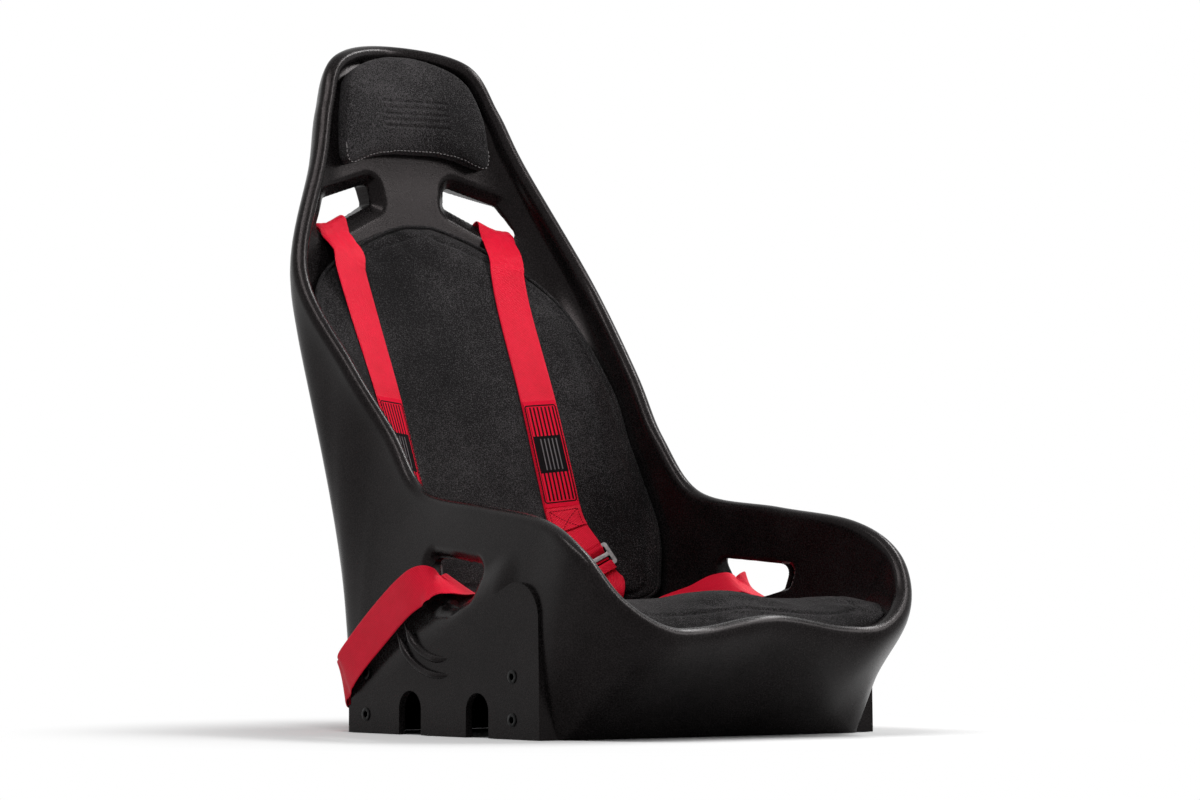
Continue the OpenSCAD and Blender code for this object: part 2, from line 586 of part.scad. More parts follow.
// Lower strap from the adjuster's end bar to the buckle's upper eye.
eye_at = [54, 57];
eye_turn = 22;
function eye_point(out, z) =
    buckle_at + [eye_at[0] + out * cos(eye_turn), eye_at[1] + out * sin(eye_turn), z];
function tail_path(top) = concat(
    [for (q = [[21, 2.4], [13, 2.6], [10.3, 2], [9.2, 0], [10.3, -2], [13, -2.6], [24, -2.4], [34, -1]])
        [adjuster_point(q[0], q[1]), adjuster_axes[0]]],
    [[[118, 166, 150], [0.3, 0.8, 0.45]], [[98, 162, 139], [-0.3, 0.93, 0.1]]],
    [for (q = [[26, 2], [14, 1.3], [7.5, 1.3], [2.8, 1.2], [0, -0.4], [-0.6, -1.8]])
        [eye_point(q[0], top + q[1]), [-sin(eye_turn), cos(eye_turn), 0]]]
);
module shoulder_tail(right) {
    color(webbing_red) on_side(right) ribbon(tail_path(right ? base_t : tongue_top), web_w, web_t, 2);
}
// Left lap strap from the rear anchor, round the seat's rear corner, through the slot to the buckle.
function lap_path(top) = concat(
    [for (q = [[0, 1.5], [0.4, 4.2], [3, 6.2], [8, 6.4], [14, 5.5]])
        [anchor_point(lap_eye[0] - q[0], lap_eye[1], q[1]), [0, 0.29, 0.96]]],
    [for (q = [[4.6, 49, 5.5, 0.26], [5, 54, 7, 0.2], [5.4, 60, 8.5, 0.2], [5.7, 66, 9.5, 0.3]])
        [over_skin(q[0], q[1], q[2]), [0.05, q[3], 0.95]]],
    [
        [[258, 174, 79], [0, 0.62, 0.78]], [[257, 136, 111], [0, 0.65, 0.76]],
        [[257, 90, 145], [0, 0.65, 0.76]], [[258, 50, 169], [0, 0.66, 0.75]],
        [[257, 30, 179], [0.05, 0.72, 0.69]], [[249, 16, 183], [0.15, 0.85, 0.5]],
        [[236, 8, 182], [0.2, 0.92, 0.38]], [[216, 8, 180], [0.2, 0.92, 0.38]],
        [[201, 20, 182], [0.2, 0.6, 0.75]], [[188, 46, 180], [0.3, 0.25, 0.92]],
        [[177, 78, 168], [0.55, 0.25, 0.8]], [[162, 100, 153], [0.55, 0.6, 0.58]],
        [[140, 106, 142], [0.2, 0.96, 0.2]], [[110, 101, 138], [0, 1, 0.02]]
    ],
    [for (q = [[86, 3.5], [70, 1.5], [62, 1.3], [57.4, 1.2], [54.2, -0.3], [53.5, -1.7]])
        [buckle_at + [q[0], 0, top + q[1]], [0, 1, 0]]]
);
module lap_strap(right) {
    color(webbing_red) on_side(right) ribbon(lap_path(right ? base_t : tongue_top), web_w, web_t, 2);
}

// ---- buckle ---------------------------------------------------------------------------

button_x = -25;       // middle of the push button
button_under = 15;    // its underside at rest
pivot = [-6, 8.6];    // the latch's pin, in x and height
spring_x = -34;
rail_y = 23.5;        // inner face of a guide rail
module in_buckle()
    translate(buckle_at) children();
// Plate with the two webbing eyes of one side, opening towards +X.
module eye_plate(t) {
    linear_extrude(t)
        difference() {
            union() {
                translate([48, 0]) rounded(28, web_w + 14, 4);
                hull() {
                    translate([36, -8]) circle(r = 4, $fn = 32);
                    translate([40, 22]) circle(r = 4, $fn = 32);
                    translate(eye_at) rotate(eye_turn)
                        for (j = [-1, 1]) translate([3, j * (web_w / 2 + 3)]) circle(r = 4, $fn = 32);
                }
            }
            translate([53.5, 0]) rounded(5.4, web_w + 2, 1.5);
            translate(eye_at) rotate(eye_turn) translate([-0.6, 0]) rounded(5.4, web_w + 2, 1.5);
        }
}
module buckle_body() {
    color(steel_grey) in_buckle()
        difference() {
            union() {
                mirror([1, 0, 0]) eye_plate(base_t);
                translate([-36, -26, 0]) cube([55, 52, base_t]);
                for (k = [-1, 1])
                    translate([-30, k * (rail_y + 1.5) - 1.5, base_t - eps]) cube([50, 3, 10]);
            }
            translate([pivot[0], 30, pivot[1]]) rotate([90, 0, 0]) cylinder(r = 1.5, h = 60, $fn = 32);
        }
}
module buckle_cover() {
    color(black_plastic) in_buckle()
        difference() {
            translate([-9, 0, -2]) linear_extrude(22) rounded(66, 61, 7);
            translate([-9, 0, -3]) linear_extrude(21) rounded(61, 56, 5);
            translate([button_x, 0, 10]) linear_extrude(20) rounded(31, 25, 3.4);
            translate([10, -rail_y + 0.3, 3.4]) cube([30, 2 * rail_y - 0.6, 3.8]);
            translate([-60, -web_w / 2 - 9, -3]) cube([30, web_w + 18, 3 + base_t + 0.3]);
            translate([-60, 20, -3]) cube([50, 30, 3 + base_t + 0.3]);
        }
}
module buckle_button() {
    color("#c4122f") in_buckle()
        translate([button_x, 0, 0]) {
            translate([0, 0, button_under]) linear_extrude(6) rounded(30, 24, 3);
            translate([1, -4, 10.7]) cube([2, 8, 4.5]);
            translate([2, 4, 10.7]) rotate([90, 0, 0]) cylinder(r = 1, h = 8, $fn = 32);
            translate([spring_x - button_x, 0, 7.5]) cylinder(r = 2.4, h = 8, $fn = 32);
        }
}
// Coil spring that lifts the button.
spring_turns = 5;
module button_spring(r = 3.5, wire = 0.45) {
    z0 = base_t + wire;
    z1 = button_under - wire;
    rings = spring_turns * 12;
    echo(spring_gap = (z1 - z0) / spring_turns - 2 * wire);
    color("#b9bcc0") in_buckle()
        loops([
            for (k = [0:rings])
                let (a = 360 * spring_turns * k / rings, z = z0 + (z1 - z0) * k / rings)
                [for (j = [0:5]) let (b = -60 * j, q = r + wire * cos(b))
                    [spring_x + q * cos(a), q * sin(a), z + wire * sin(b)]]
        ]);
}
// Rocking latch: its front tooth holds the tongue, its rear arm lies under the button.
module buckle_latch() {
    color("#7c7e82") in_buckle()
        difference() {
            union() {
                translate([pivot[0], 10, pivot[1]]) rotate([90, 0, 0])
                    cylinder(r = 3, h = 20, $fn = 48);
                translate([pivot[0], -8, 7.6]) cube([16, 16, 2]);
                translate([6, -8, 3.6]) cube([4, 16, 5]);
                translate([-24.5, -6, 7.6]) cube([18.5, 12, 2]);
            }
            translate([pivot[0], 11, pivot[1]]) rotate([90, 0, 0]) cylinder(r = 1.55, h = 22, $fn = 48);
        }
}
module latch_pin() {
    color("#b9bcc0") in_buckle()
        translate([pivot[0], rail_y + 3, pivot[1]]) rotate([90, 0, 0])
            cylinder(r = 1.5, h = 2 * rail_y + 6, $fn = 48);
}
module buckle_tongue() {
    color(steel_grey) in_buckle()
        translate([0, 0, tongue_low])
            difference() {
                union() {
                    eye_plate(2.5);
                    translate([-2, -22.5, 0]) cube([42, 45, 2.5]);
                }
                translate([5.5, -9, -1]) cube([5.7, 18, 5]);
            }
}

// ---- anchors -----------------------------------------------------------------------------

bolt_r = 4;
module on_rear_wall()
    translate(anchor_at) rotate([0, 0, 180]) rotate([90 + wall_lean, 0, 0]) children();
// Plate with one slot for the shoulder strap above and one for the lap strap beside the bolt.
module rear_anchor(right) {
    color(steel_grey) on_side(right) on_rear_wall() translate([0, 0, 1])
        difference() {
            linear_extrude(3)
                difference() {
                    hull() {
                        translate([10, -22]) circle(r = 8, $fn = 32);
                        translate([-38, -30]) circle(r = 6, $fn = 32);
                        translate([-38, 30]) circle(r = 6, $fn = 32);
                        translate([38, 44]) circle(r = 6, $fn = 32);
                        translate([-16, 44]) circle(r = 6, $fn = 32);
                    }
                    translate(shoulder_eye) rounded(web_w + 3, 5, 1.5);
                    translate(lap_eye) rounded(5, web_w + 3, 1.5);
                }
            translate([0, 0, -1]) cylinder(r = bolt_r + 0.2, h = 6, $fn = 48);
        }
}
// Each anchor's bolt with its washer and nut inside the hollow wall.
module anchor_bolts() {
    color("#a9abae")
        for (right = [false, true])
            on_side(right) on_rear_wall() {
                translate([0, 0, 4]) cylinder(r = 7.5, h = 5, $fn = 6);
                translate([0, 0, -18]) cylinder(r = bolt_r, h = 22.5, $fn = 48);
                translate([0, 0, -16]) cylinder(r = 7.5, h = 6, $fn = 6);
            }
}

seat_shell();
mount_inserts(true);  // mount_inserts_right
mount_inserts(false);  // mount_inserts_left
head_pad();
back_pad();
seat_cushion();
head_pad_hook_strips();
back_pad_hook_strips();
cushion_hook_strips();
shoulder_strap(true);  // shoulder_strap_right
shoulder_strap(false);  // shoulder_strap_left
strap_label(true);  // strap_label_right
strap_label(false);  // strap_label_left
shoulder_adjuster(true);  // shoulder_adjuster_right
shoulder_adjuster(false);  // shoulder_adjuster_left
shoulder_tail(true);  // shoulder_tail_right
shoulder_tail(false);  // shoulder_tail_left
lap_strap(true);  // lap_strap_right
lap_strap(false);  // lap_strap_left
buckle_body();
buckle_cover();
buckle_button();
button_spring();
buckle_latch();
latch_pin();
buckle_tongue();
rear_anchor(true);  // rear_anchor_right
rear_anchor(false);  // rear_anchor_left
anchor_bolts();
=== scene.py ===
# %% [markdown]
# # A moulded bucket racing seat
# This notebook dresses a bucket seat: a double-walled plastic shell, three soft pads and a
# red webbing harness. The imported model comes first, because every piece is placed around it.
# It is in metres, stands on z = 0 and faces -Y.

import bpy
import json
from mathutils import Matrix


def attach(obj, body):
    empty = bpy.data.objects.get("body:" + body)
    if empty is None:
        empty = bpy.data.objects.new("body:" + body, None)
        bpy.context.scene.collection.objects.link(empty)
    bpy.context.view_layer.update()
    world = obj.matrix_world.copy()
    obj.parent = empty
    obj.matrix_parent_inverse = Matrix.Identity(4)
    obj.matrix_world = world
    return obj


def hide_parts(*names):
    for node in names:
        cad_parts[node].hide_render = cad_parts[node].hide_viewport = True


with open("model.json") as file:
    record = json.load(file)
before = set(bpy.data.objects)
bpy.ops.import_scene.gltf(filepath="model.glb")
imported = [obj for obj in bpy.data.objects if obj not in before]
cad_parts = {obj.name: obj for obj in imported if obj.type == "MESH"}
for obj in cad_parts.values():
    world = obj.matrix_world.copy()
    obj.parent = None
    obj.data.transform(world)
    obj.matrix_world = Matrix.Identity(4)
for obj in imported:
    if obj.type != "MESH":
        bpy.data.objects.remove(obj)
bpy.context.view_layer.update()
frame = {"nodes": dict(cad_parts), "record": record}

import json
import math
from contextlib import contextmanager

import bpy
import numpy as np
from mathutils import Vector, kdtree
from mathutils.geometry import convex_hull_2d

MM = 0.001

# %% [markdown]
# ## The camera
# A product picture is taken from far away with a long lens, so that parallel edges stay
# parallel. The camera stands about six and a half metres off, low, and looks slightly up.

# %% Camera
camera_turn, camera_distance, camera_height = math.radians(38.0), 6.5, 0.2180835
pan, tilt = math.radians(-0.0743841), math.radians(-1.5929874)
focal_px, frame_px, sensor_mm = 5398.076, 1200, 36
forward = Vector((math.sin(camera_turn + pan) * math.cos(tilt),
                  math.cos(camera_turn + pan) * math.cos(tilt), -math.sin(tilt)))
bpy.ops.object.camera_add(location=(-math.sin(camera_turn) * camera_distance,
                                    -math.cos(camera_turn) * camera_distance, camera_height),
                          rotation=forward.to_track_quat("-Z", "Y").to_euler())
camera = bpy.context.object
camera.name = "camera"
camera.data.sensor_width = sensor_mm
camera.data.lens = sensor_mm * focal_px / frame_px
camera.data.clip_end = 100
bpy.context.scene.camera = camera
print("lens", round(camera.data.lens, 1), "mm")

# %% [markdown]
# ## Curves
# The shell is a smooth form with few driving numbers: a line round its rim, a row of
# cross-sections for the bucket, and a skirt that falls to the floor. Catmull-Rom curves run
# through the numbers. Modelling such a form by pushing points would give a lumpy surface, so
# it is swept from its sections. All of it is in millimetres until the mesh is made.

# %% Curve helpers
def spline(a, b, c, d, f):
    """The curve from b (f = 0) to c (f = 1), with a before them and d after."""
    return 0.5 * (2 * b + (c - a) * f + (2 * a - 5 * b + 4 * c - d) * f ** 2
                  + (3 * b - 3 * c + d - a) * f ** 3)


def through(points, place):
    """The curve through a list, its ends running on straight."""
    P = np.asarray(points, float)
    n = len(P) - 1
    u = np.clip(np.asarray(place, float), 0, n)
    i = np.minimum(u.astype(int), n - 1)
    f, first, last = u - i, i == 0, i == n - 1
    if P.ndim == 2:
        f, first, last = f[..., None], first[..., None], last[..., None]
    b, c = P[i], P[i + 1]
    a = np.where(first, 2 * b - c, P[np.maximum(i - 1, 0)])
    d = np.where(last, 2 * c - b, P[np.minimum(i + 2, n)])
    return spline(a, b, c, d, f)


def both_ways(points, place):
    """The curve through a half list that carries on as its own mirror image at both ends."""
    P = np.asarray(points, float)
    flip = np.ones(P.shape[1:])
    if P.ndim == 2:
        flip[0] = -1
    whole = np.concatenate([(P[1:3] * flip)[::-1], P, (P[-3:-1] * flip)[::-1]])
    return through(whole, np.asarray(place, float) + 2)


def closed_curve(points, place):
    """The curve through a closed list."""
    P, i = np.asarray(points, float), np.floor(place).astype(int)
    return spline(*(P[(i + k) % len(P)] for k in (-1, 0, 1, 2)), (place - i)[:, None])


def unit(v):
    return v / np.maximum(np.linalg.norm(v, axis=-1, keepdims=True), 1e-9)


def ease(x):
    c = np.clip(x, 0, 1)
    return c * c * (3 - 2 * c)


def pair(a, b):
    """Two numbers or arrays as arrays of one shape."""
    return np.broadcast_arrays(np.asarray(a, float), np.asarray(b, float))


def run_of(points):
    """The length run at each point of a line."""
    return np.concatenate([[0], np.cumsum(np.linalg.norm(np.diff(points, axis=0), axis=1))])


def read_off(at, run, rows):
    """Rows of numbers that belong to the places `run`, read off at the places `at`."""
    return np.stack([np.interp(at, run, column) for column in np.asarray(rows).T], -1)


# %% The shell's driving numbers
rim_line = [(0, 458, 854), (99, 427, 835), (133, 406, 775), (159, 383, 705), (224, 329, 558),
            (222, 232, 437), (212, 164, 355), (217, 90, 282), (231, -52, 261), (239, -179, 244),
            (240, -252, 208), (218, -294, 155), (165, -314, 121), (103, -313, 118), (0, -312, 131)]
rim_tilt = [20, 20, 10, 12, 22, 35, 45, 62, 84, 88, 84, 80, 80, 80, 80]
rim_r = [10, 10, 10, 10, 10, 10, 10, 10, 10, 10, 11, 12, 12, 12, 12]
rim_inboard = [5, 5, 4, 4, 3, 4, 6, 6, 6, 5, 4, 4, 3, 3, 3]
skin_turn = [15, 15, 12, 8, 10, 12, 5, 0, 0, 0, 0, 0, 0, 0, 0]
skin_reach = [95, 95, 80, 60, 50, 70, 65, 50, 60, 60, 45, 35, 25, 25, 25]
floor_line = [(0, 203), (45, 203), (85, 203), (135, 203), (195, 203), (236, 193), (248, 172),
              (249, 120), (249, -20), (247, -120), (230, -188), (206, -208), (150, -210),
              (60, -211), (0, -211)]
floor_lean = [(0, 0.35), (0, 0.35), (0, 0.34), (0, 0.32), (0, 0.25), (0, 0.1), (0.02, 0),
              (0.03, 0), (0.03, 0), (0.06, 0), (0.18, -0.3), (0.12, -0.45), (0.05, -0.7),
              (0.03, -0.7), (0, -0.7)]
floor_rise = [560, 540, 470, 400, 300, 150, 130, 120, 110, 100, 110, 80, 60, 60, 60]
bucket_rows = np.array([
    (0.8, 461, 850, 2.4), (1.2, 446, 836, 2.6), (2, 416, 770, 3.2), (3, 403, 675, 3.0),
    (4, 379, 548, 2.4), (5, 325, 415, 2.5), (6, 280, 298, 2.7), (7, 243, 205, 3.0),
    (7.6, 190, 112, 3.4), (8.2, 90, 74, 3.6), (9, -60, 74, 3.6), (9.7, -160, 94, 3.2),
    (10.3, -225, 114, 2.8), (10.8, -262, 131, 2.6)])
last_row = len(bucket_rows) - 1
top_station, front_station, end_station = 0.8, 10.8, 14
lip_angle, blend_rows = -25, 1.6
near = 0.02                                 # a small step, for directions and normals


# %% The rolled rim, the bucket and the outer skin as formulas
def rim_axes(t):
    t = np.asarray(t, float)
    along = unit(both_ways(rim_line, t + 0.001) - both_ways(rim_line, t - 0.001))
    a = np.radians(both_ways(rim_tilt, t))
    up = np.stack([0 * a, -np.cos(a), np.sin(a)], -1)
    out = unit(np.cross(up, along))
    return along, out, np.cross(along, out)


def rim_centre(t):
    return both_ways(rim_line, t) - rim_axes(t)[1] * both_ways(rim_inboard, t)[..., None]


def on_roll(t, angle, less=0):
    """A point on the roll: angle 0 is inboard, 90 the crest, 180 outboard."""
    _, out, up = rim_axes(t)
    a = np.radians(angle)[..., None] if np.ndim(angle) else math.radians(angle)
    r = both_ways(rim_r, t)[..., None] - less
    return rim_centre(t) + r * (up * np.sin(a) - out * np.cos(a))


def bucket_raw(u, s):
    R = through(bucket_rows, u)
    edge = on_roll(R[..., 0], lip_angle)
    a, p = np.pi / 2 * np.abs(s), 2 / R[..., 3]
    k = np.where(np.abs(s) >= 1, 1, 1 - np.clip(np.cos(a), 0, 1) ** p)
    return np.stack([np.sign(s) * edge[..., 0] * np.sin(a) ** p,
                     R[..., 1] + (edge[..., 1] - R[..., 1]) * k,
                     R[..., 2] + (edge[..., 2] - R[..., 2]) * k], -1)


def edge_station(s, front):
    """The rim station over the bucket's front or head edge, s from -1 to 1 across."""
    return end_station - (end_station - front_station) * np.abs(s) if front else top_station * np.abs(s)


def rim_row(s, front):
    p = on_roll(edge_station(s, front), lip_angle)
    p[..., 0] *= np.where(s < 0, -1, 1)
    return p


def bucket(u, s):
    """The inner skin: u from head (0) to front edge (13), s from -1 to 1 across."""
    u, s = pair(u, s)
    a, b = ease(1 - u / blend_rows)[..., None], ease(1 - (last_row - u) / blend_rows)[..., None]
    return (bucket_raw(u, s) + a * (rim_row(s, False) - bucket_raw(0 * u, s))
            + b * (rim_row(s, True) - bucket_raw(0 * u + last_row, s)))


def bucket_normal(u, s):
    u, s = pair(u, s)
    u0, u1 = np.maximum(0, u - near), np.minimum(last_row, u + near)
    s0, s1 = np.maximum(-1, s - near), np.minimum(1, s + near)
    return unit(np.cross(bucket(u1, s) - bucket(u0, s), bucket(u, s1) - bucket(u, s0)))


def off_bucket(u, s, lift):
    return bucket(u, s) + np.asarray(lift)[..., None] * bucket_normal(u, s)


def skin(t, v):
    """The outer skin: t round the rim, v from the roll (0) to the floor (1)."""
    t, v = pair(t, v)
    _, out, up = rim_axes(t)
    a = np.radians(both_ways(skin_turn, t))[..., None]
    r = both_ways(rim_r, t)[..., None]
    P = rim_centre(t) + r * (out * np.cos(a) - up * np.sin(a))
    Q = P - (up * np.cos(a) + out * np.sin(a)) * both_ways(skin_reach, t)[..., None]
    F, L = both_ways(floor_line, t), both_ways(floor_lean, t)
    F = np.concatenate([F, 0 * F[..., :1]], -1)
    L = unit(np.concatenate([L, 0 * L[..., :1] + 1], -1))
    R = F + L * both_ways(floor_rise, t)[..., None]
    v = v[..., None]
    w = 1 - v
    return w ** 3 * P + 3 * w * w * v * Q + 3 * w * v * v * R + v ** 3 * F


def skin_normal(t, v):
    t, v = pair(t, v)
    v0, v1 = np.maximum(0, v - near), np.minimum(1, v + near)
    return unit(np.cross(skin(t + near, v) - skin(t - near, v), skin(t, v1) - skin(t, v0)))


def solve(surface, x, c, axis, u, s, most, u_range, s_range, n=12):
    """The place (u, s) on a surface with a given x and a given y (axis 1) or z (axis 2)."""
    e, least = 0.004, 1e-6
    for _ in range(n):
        p = surface(u, s)
        a, b = (surface(u + e, s) - p) / e, (surface(u, s + e) - p) / e
        fx, fc = x - p[..., 0], c - p[..., axis]
        det = a[..., 0] * b[..., axis] - a[..., axis] * b[..., 0]
        det = np.where(np.abs(det) < least, least, det)
        du, ds = (fx * b[..., axis] - b[..., 0] * fc) / det, (a[..., 0] * fc - a[..., axis] * fx) / det
        u = np.clip(u + np.clip(du, -most[0], most[0]), *u_range)
        s = np.clip(s + np.clip(ds, -most[1], most[1]), *s_range)
    return u, s


print("bucket's lowest point", bucket(8.6, 0.0).round(1))

# %% [markdown]
# ## Making meshes
# Small helpers turn rings of points into meshes and read the points back. `alone` and
# `editing` give an operator a clean selection, because it works on all that is selected.


# %% Mesh helpers
def alone(obj):
    """Selects one object and makes it the active one."""
    bpy.ops.object.select_all(action="DESELECT")
    obj.select_set(True)
    bpy.context.view_layer.objects.active = obj
    return obj


@contextmanager
def editing(obj, everything=True):
    """Edit mode on one object, with all of it selected unless told otherwise."""
    alone(obj)
    bpy.ops.object.mode_set(mode="EDIT")
    if everything:
        bpy.ops.mesh.select_all(action="SELECT")
    yield
    bpy.ops.object.mode_set(mode="OBJECT")


def new_object(name, mesh):
    obj = bpy.data.objects.new(name, mesh)
    bpy.context.scene.collection.objects.link(obj)
    obj.name = mesh.name = name
    return alone(obj)


def mesh_piece(name, points, faces):
    mesh = bpy.data.meshes.new(name)
    mesh.from_pydata((np.asarray(points, float) * MM).tolist(), [], faces)
    mesh.update()
    return new_object(name, mesh)


def rows_of(parts, what):
    """Three numbers of each part of a mesh, such as the places of its points."""
    rows = np.empty(len(parts) * 3, np.float32)
    parts.foreach_get(what, rows)
    return rows.reshape(-1, 3).astype(float)


def points_of(obj):
    return rows_of(obj.data.vertices, "co") / MM


def facing(obj):
    """The way each point of a mesh faces."""
    return rows_of(obj.data.vertices, "normal")


def move_points(obj, points):
    obj.data.vertices.foreach_set("co", (np.asarray(points) * MM).astype(np.float32).ravel())
    obj.data.update()


def apply_all(obj):
    alone(obj)
    for m in list(obj.modifiers):
        bpy.ops.object.modifier_apply(modifier=m.name)


def join(name, objs):
    alone(objs[0])
    for o in objs[1:]:
        o.select_set(True)
    bpy.ops.object.join()
    objs[0].name = objs[0].data.name = name
    return objs[0]


def outward(obj):
    """Turns all the faces of a closed solid outwards."""
    with editing(obj):
        bpy.ops.mesh.normals_make_consistent(inside=False)
    return obj


def ring_faces(k, n, base=0, loop=False):
    """The faces between k rings of n points, with both ends closed unless it is a loop."""
    faces = [(r * n + j, r * n + (j + 1) % n, (r + 1) % k * n + (j + 1) % n, (r + 1) % k * n + j)
             for r in range(k if loop else k - 1) for j in range(n)]
    if not loop:
        faces += [tuple(range(n))[::-1], tuple(range((k - 1) * n, k * n))]
    return [tuple(base + v for v in f) for f in faces]


def rings_to_mesh(name, rings, loop=False):
    """A closed solid through rings of the same number of points."""
    rings = np.asarray(rings, float)
    return mesh_piece(name, rings.reshape(-1, 3), ring_faces(*rings.shape[:2], loop=loop))


def smooth(obj, degrees):
    alone(obj)
    bpy.ops.object.shade_smooth_by_angle(angle=math.radians(degrees))


def nearest(points, cloud):
    """Which point of a cloud is nearest to each of some points, and how far away it is."""
    tree = kdtree.KDTree(len(cloud))
    for i, p in enumerate(cloud):
        tree.insert(p, i)
    tree.balance()
    found = [tree.find(p) for p in points]
    return [f[1] for f in found], np.array([f[2] for f in found])


def outline_of(circles, steps=24):
    """The outline round a few circles [a, b, radius], as points in order."""
    turn = np.linspace(0, 2 * np.pi, steps, endpoint=False)
    pts = np.concatenate([np.stack([a + r * np.cos(turn), b + r * np.sin(turn)], -1) for a, b, r in circles])
    return pts[convex_hull_2d([Vector(p) for p in pts])]


def signed_distance(points, outline):
    """Distance of 2-D points to a closed outline, positive inside it."""
    P, A = np.asarray(points, float), np.asarray(outline, float)
    B = np.roll(A, -1, 0)
    best, inside = np.full(len(P), np.inf), np.zeros(len(P), bool)
    for a, b in zip(A, B):
        e = b - a
        f = np.clip(((P - a) @ e) / (e @ e), 0, 1)[:, None]
        best = np.minimum(best, np.linalg.norm(P - a - f * e, axis=1))
        cross = (a[1] > P[:, 1]) != (b[1] > P[:, 1])
        at_x = a[0] + (P[:, 1] - a[1]) * e[0] / np.where(e[1] == 0, 1e-9, e[1])
        inside ^= cross & (P[:, 0] < at_x)
    return np.where(inside, best, -best)

# %% [markdown]
# ## The shell
# The real shell is rotationally moulded: one hollow skin of plastic with a soft roll round
# its rim. Its outside is one closed sheet here: the bucket's grid, then rings that follow
# the roll and fall down the outer skin to the floor.

# %% The shell's closed sheet
seam_angle, seam_depth, seam_width = 22, 0.7, 9


def bucket_grid(rows, cols, reach=1):
    """Places (u, s) in rows over the whole bucket."""
    return np.meshgrid(np.linspace(0, last_row, rows), np.linspace(-reach, reach, cols), indexing="ij")


def rim_stations(rows, cols):
    """The loop round the bucket's grid as a rim station and a side for each point."""
    s = -1 + 2 * np.arange(cols) / cols
    down = through(bucket_rows, last_row * np.arange(rows) / rows)[:, 0]
    up = through(bucket_rows, last_row * (rows - np.arange(rows)) / rows)[:, 0]
    t = np.concatenate([edge_station(s, False), down, edge_station(s, True), up])
    side = np.concatenate([np.where(s < 0, -1, 1), np.ones(rows), np.where(-s < 0, -1, 1), -np.ones(rows)])
    return t, side


def grid_loop(rows, cols):
    n = cols + 1
    return ([j for j in range(cols)] + [i * n + cols for i in range(rows)]
            + [rows * n + cols - j for j in range(cols)] + [(rows - i) * n for i in range(rows)])


def sheet_and_rings(name, rows, cols, sheet, rings):
    """A closed solid: a grid sheet, rings that hang from its edge, and a flat end."""
    n, base, loop = cols + 1, (rows + 1) * (cols + 1), grid_loop(rows, cols)
    k = len(loop)
    faces = [(i * n + j, (i + 1) * n + j, (i + 1) * n + j + 1, i * n + j + 1)
             for i in range(rows) for j in range(cols)]
    before = loop
    for r in range(len(rings)):
        now = list(range(base + r * k, base + (r + 1) * k))
        faces += [(before[j], before[(j + 1) % k], now[(j + 1) % k], now[j]) for j in range(k)]
        before = now
    faces.append(tuple(before))
    return mesh_piece(name, np.concatenate([sheet.reshape(-1, 3)] + list(rings)), faces)


def to_side(points, side):
    out = np.array(points)
    out[:, 0] *= side
    return out


def shell_sheet(name, rows, cols, roll_steps, skin_steps):
    t, side = rim_stations(rows, cols)
    turn = 180 + both_ways(skin_turn, t)
    rings = []
    for q in range(1, roll_steps + 1):
        a = lip_angle + (turn - lip_angle) * q / roll_steps
        groove = seam_depth * np.exp(-((a - seam_angle) / seam_width)[:, None] ** 2)
        rings.append(to_side(on_roll(t, a, groove), side))
    rings += [to_side(skin(t, 0 * t + q / skin_steps), side) for q in range(1, skin_steps + 1)]
    return sheet_and_rings(name, rows, cols, bucket(*bucket_grid(rows + 1, cols + 1)), rings)


def soften(obj, line, width, times):
    """Relaxes a mesh near a line of points, as a fillet."""
    close = ease(1 - nearest(points_of(obj), line)[1] / width)
    group = obj.vertex_groups.new(name="near")
    for w in np.arange(0.1, 1.01, 0.1):
        chosen = np.nonzero((close > w - 0.1) & (close <= w))[0]
        group.add([int(i) for i in chosen], float(w), "REPLACE")
    m = obj.modifiers.new("relax", "SMOOTH")
    m.factor, m.iterations, m.vertex_group = 0.5, times, "near"
    apply_all(obj)
    obj.vertex_groups.clear()


shell = shell_sheet("seat_shell_moulded", 130, 64, roll_steps=14, skin_steps=50)
crease = np.linspace(0, end_station, 900)
crease = np.concatenate([to_side(on_roll(crease, lip_angle), k) for k in (-1, 1)])
soften(shell, crease, width=14, times=10)
print("shell sheet", len(shell.data.polygons), "faces")

# %% [markdown]
# ### Slots with dished surrounds
# Slots in moulded plastic have soft lips and a dished surround, which keep the webbing from
# chafing. Each slot is an outline. Points of the sheet near it are pressed in along a smooth
# slope, and a cutter opens the hole afterwards. The faces near the outlines are divided
# first, so that there are points enough to carry the slope.

# %% Outlines of the openings
panel_x, panel_depth = 252, 27
shoulder_slot = outline_of([(66, 671, 7), (64, 657, 7), (130, 651, 8), (146, 622, 9)])
lap_slot = outline_of([(36, 203, 9), (-52, 191, 12), (-44, 175, 13), (-15, 164, 15), (10, 166, 15)])
lap_slot_inside = outline_of([(38, 199, 8), (-74, 191, 9), (-70, 180, 9), (-36, 175, 10), (36, 175, 8)])
panel_outline = outline_of([(-196, 1, 1), (180, 1, 1), (180, 30, 1), (40, 55, 30), (-152, 139, 42)], 64)
notch_places, notch_w, notch_h, notch_x = (-77, 56), 44, 52, 240
wall_x, lap_top, shoulder_foot = 150, 260, 560
hole_places, hole_x, hole_r = [(y, z) for y in (-145, 145) for z in (22, 72)], 246, 6.05


def from_side(P, outline):
    """Signed distance of points to an outline that is drawn on the side view."""
    return signed_distance(P[:, 1:], outline)


def from_front(P, outline):
    """The same for an outline on one half of the front view."""
    return signed_distance(np.stack([np.abs(P[:, 0]), P[:, 2]], -1), outline)


def low_and_high(P):
    """Which points belong to the side walls by the lap slots, and which to the shoulders."""
    return (np.abs(P[:, 0]) > wall_x) & (P[:, 2] < lap_top), P[:, 2] > shoulder_foot


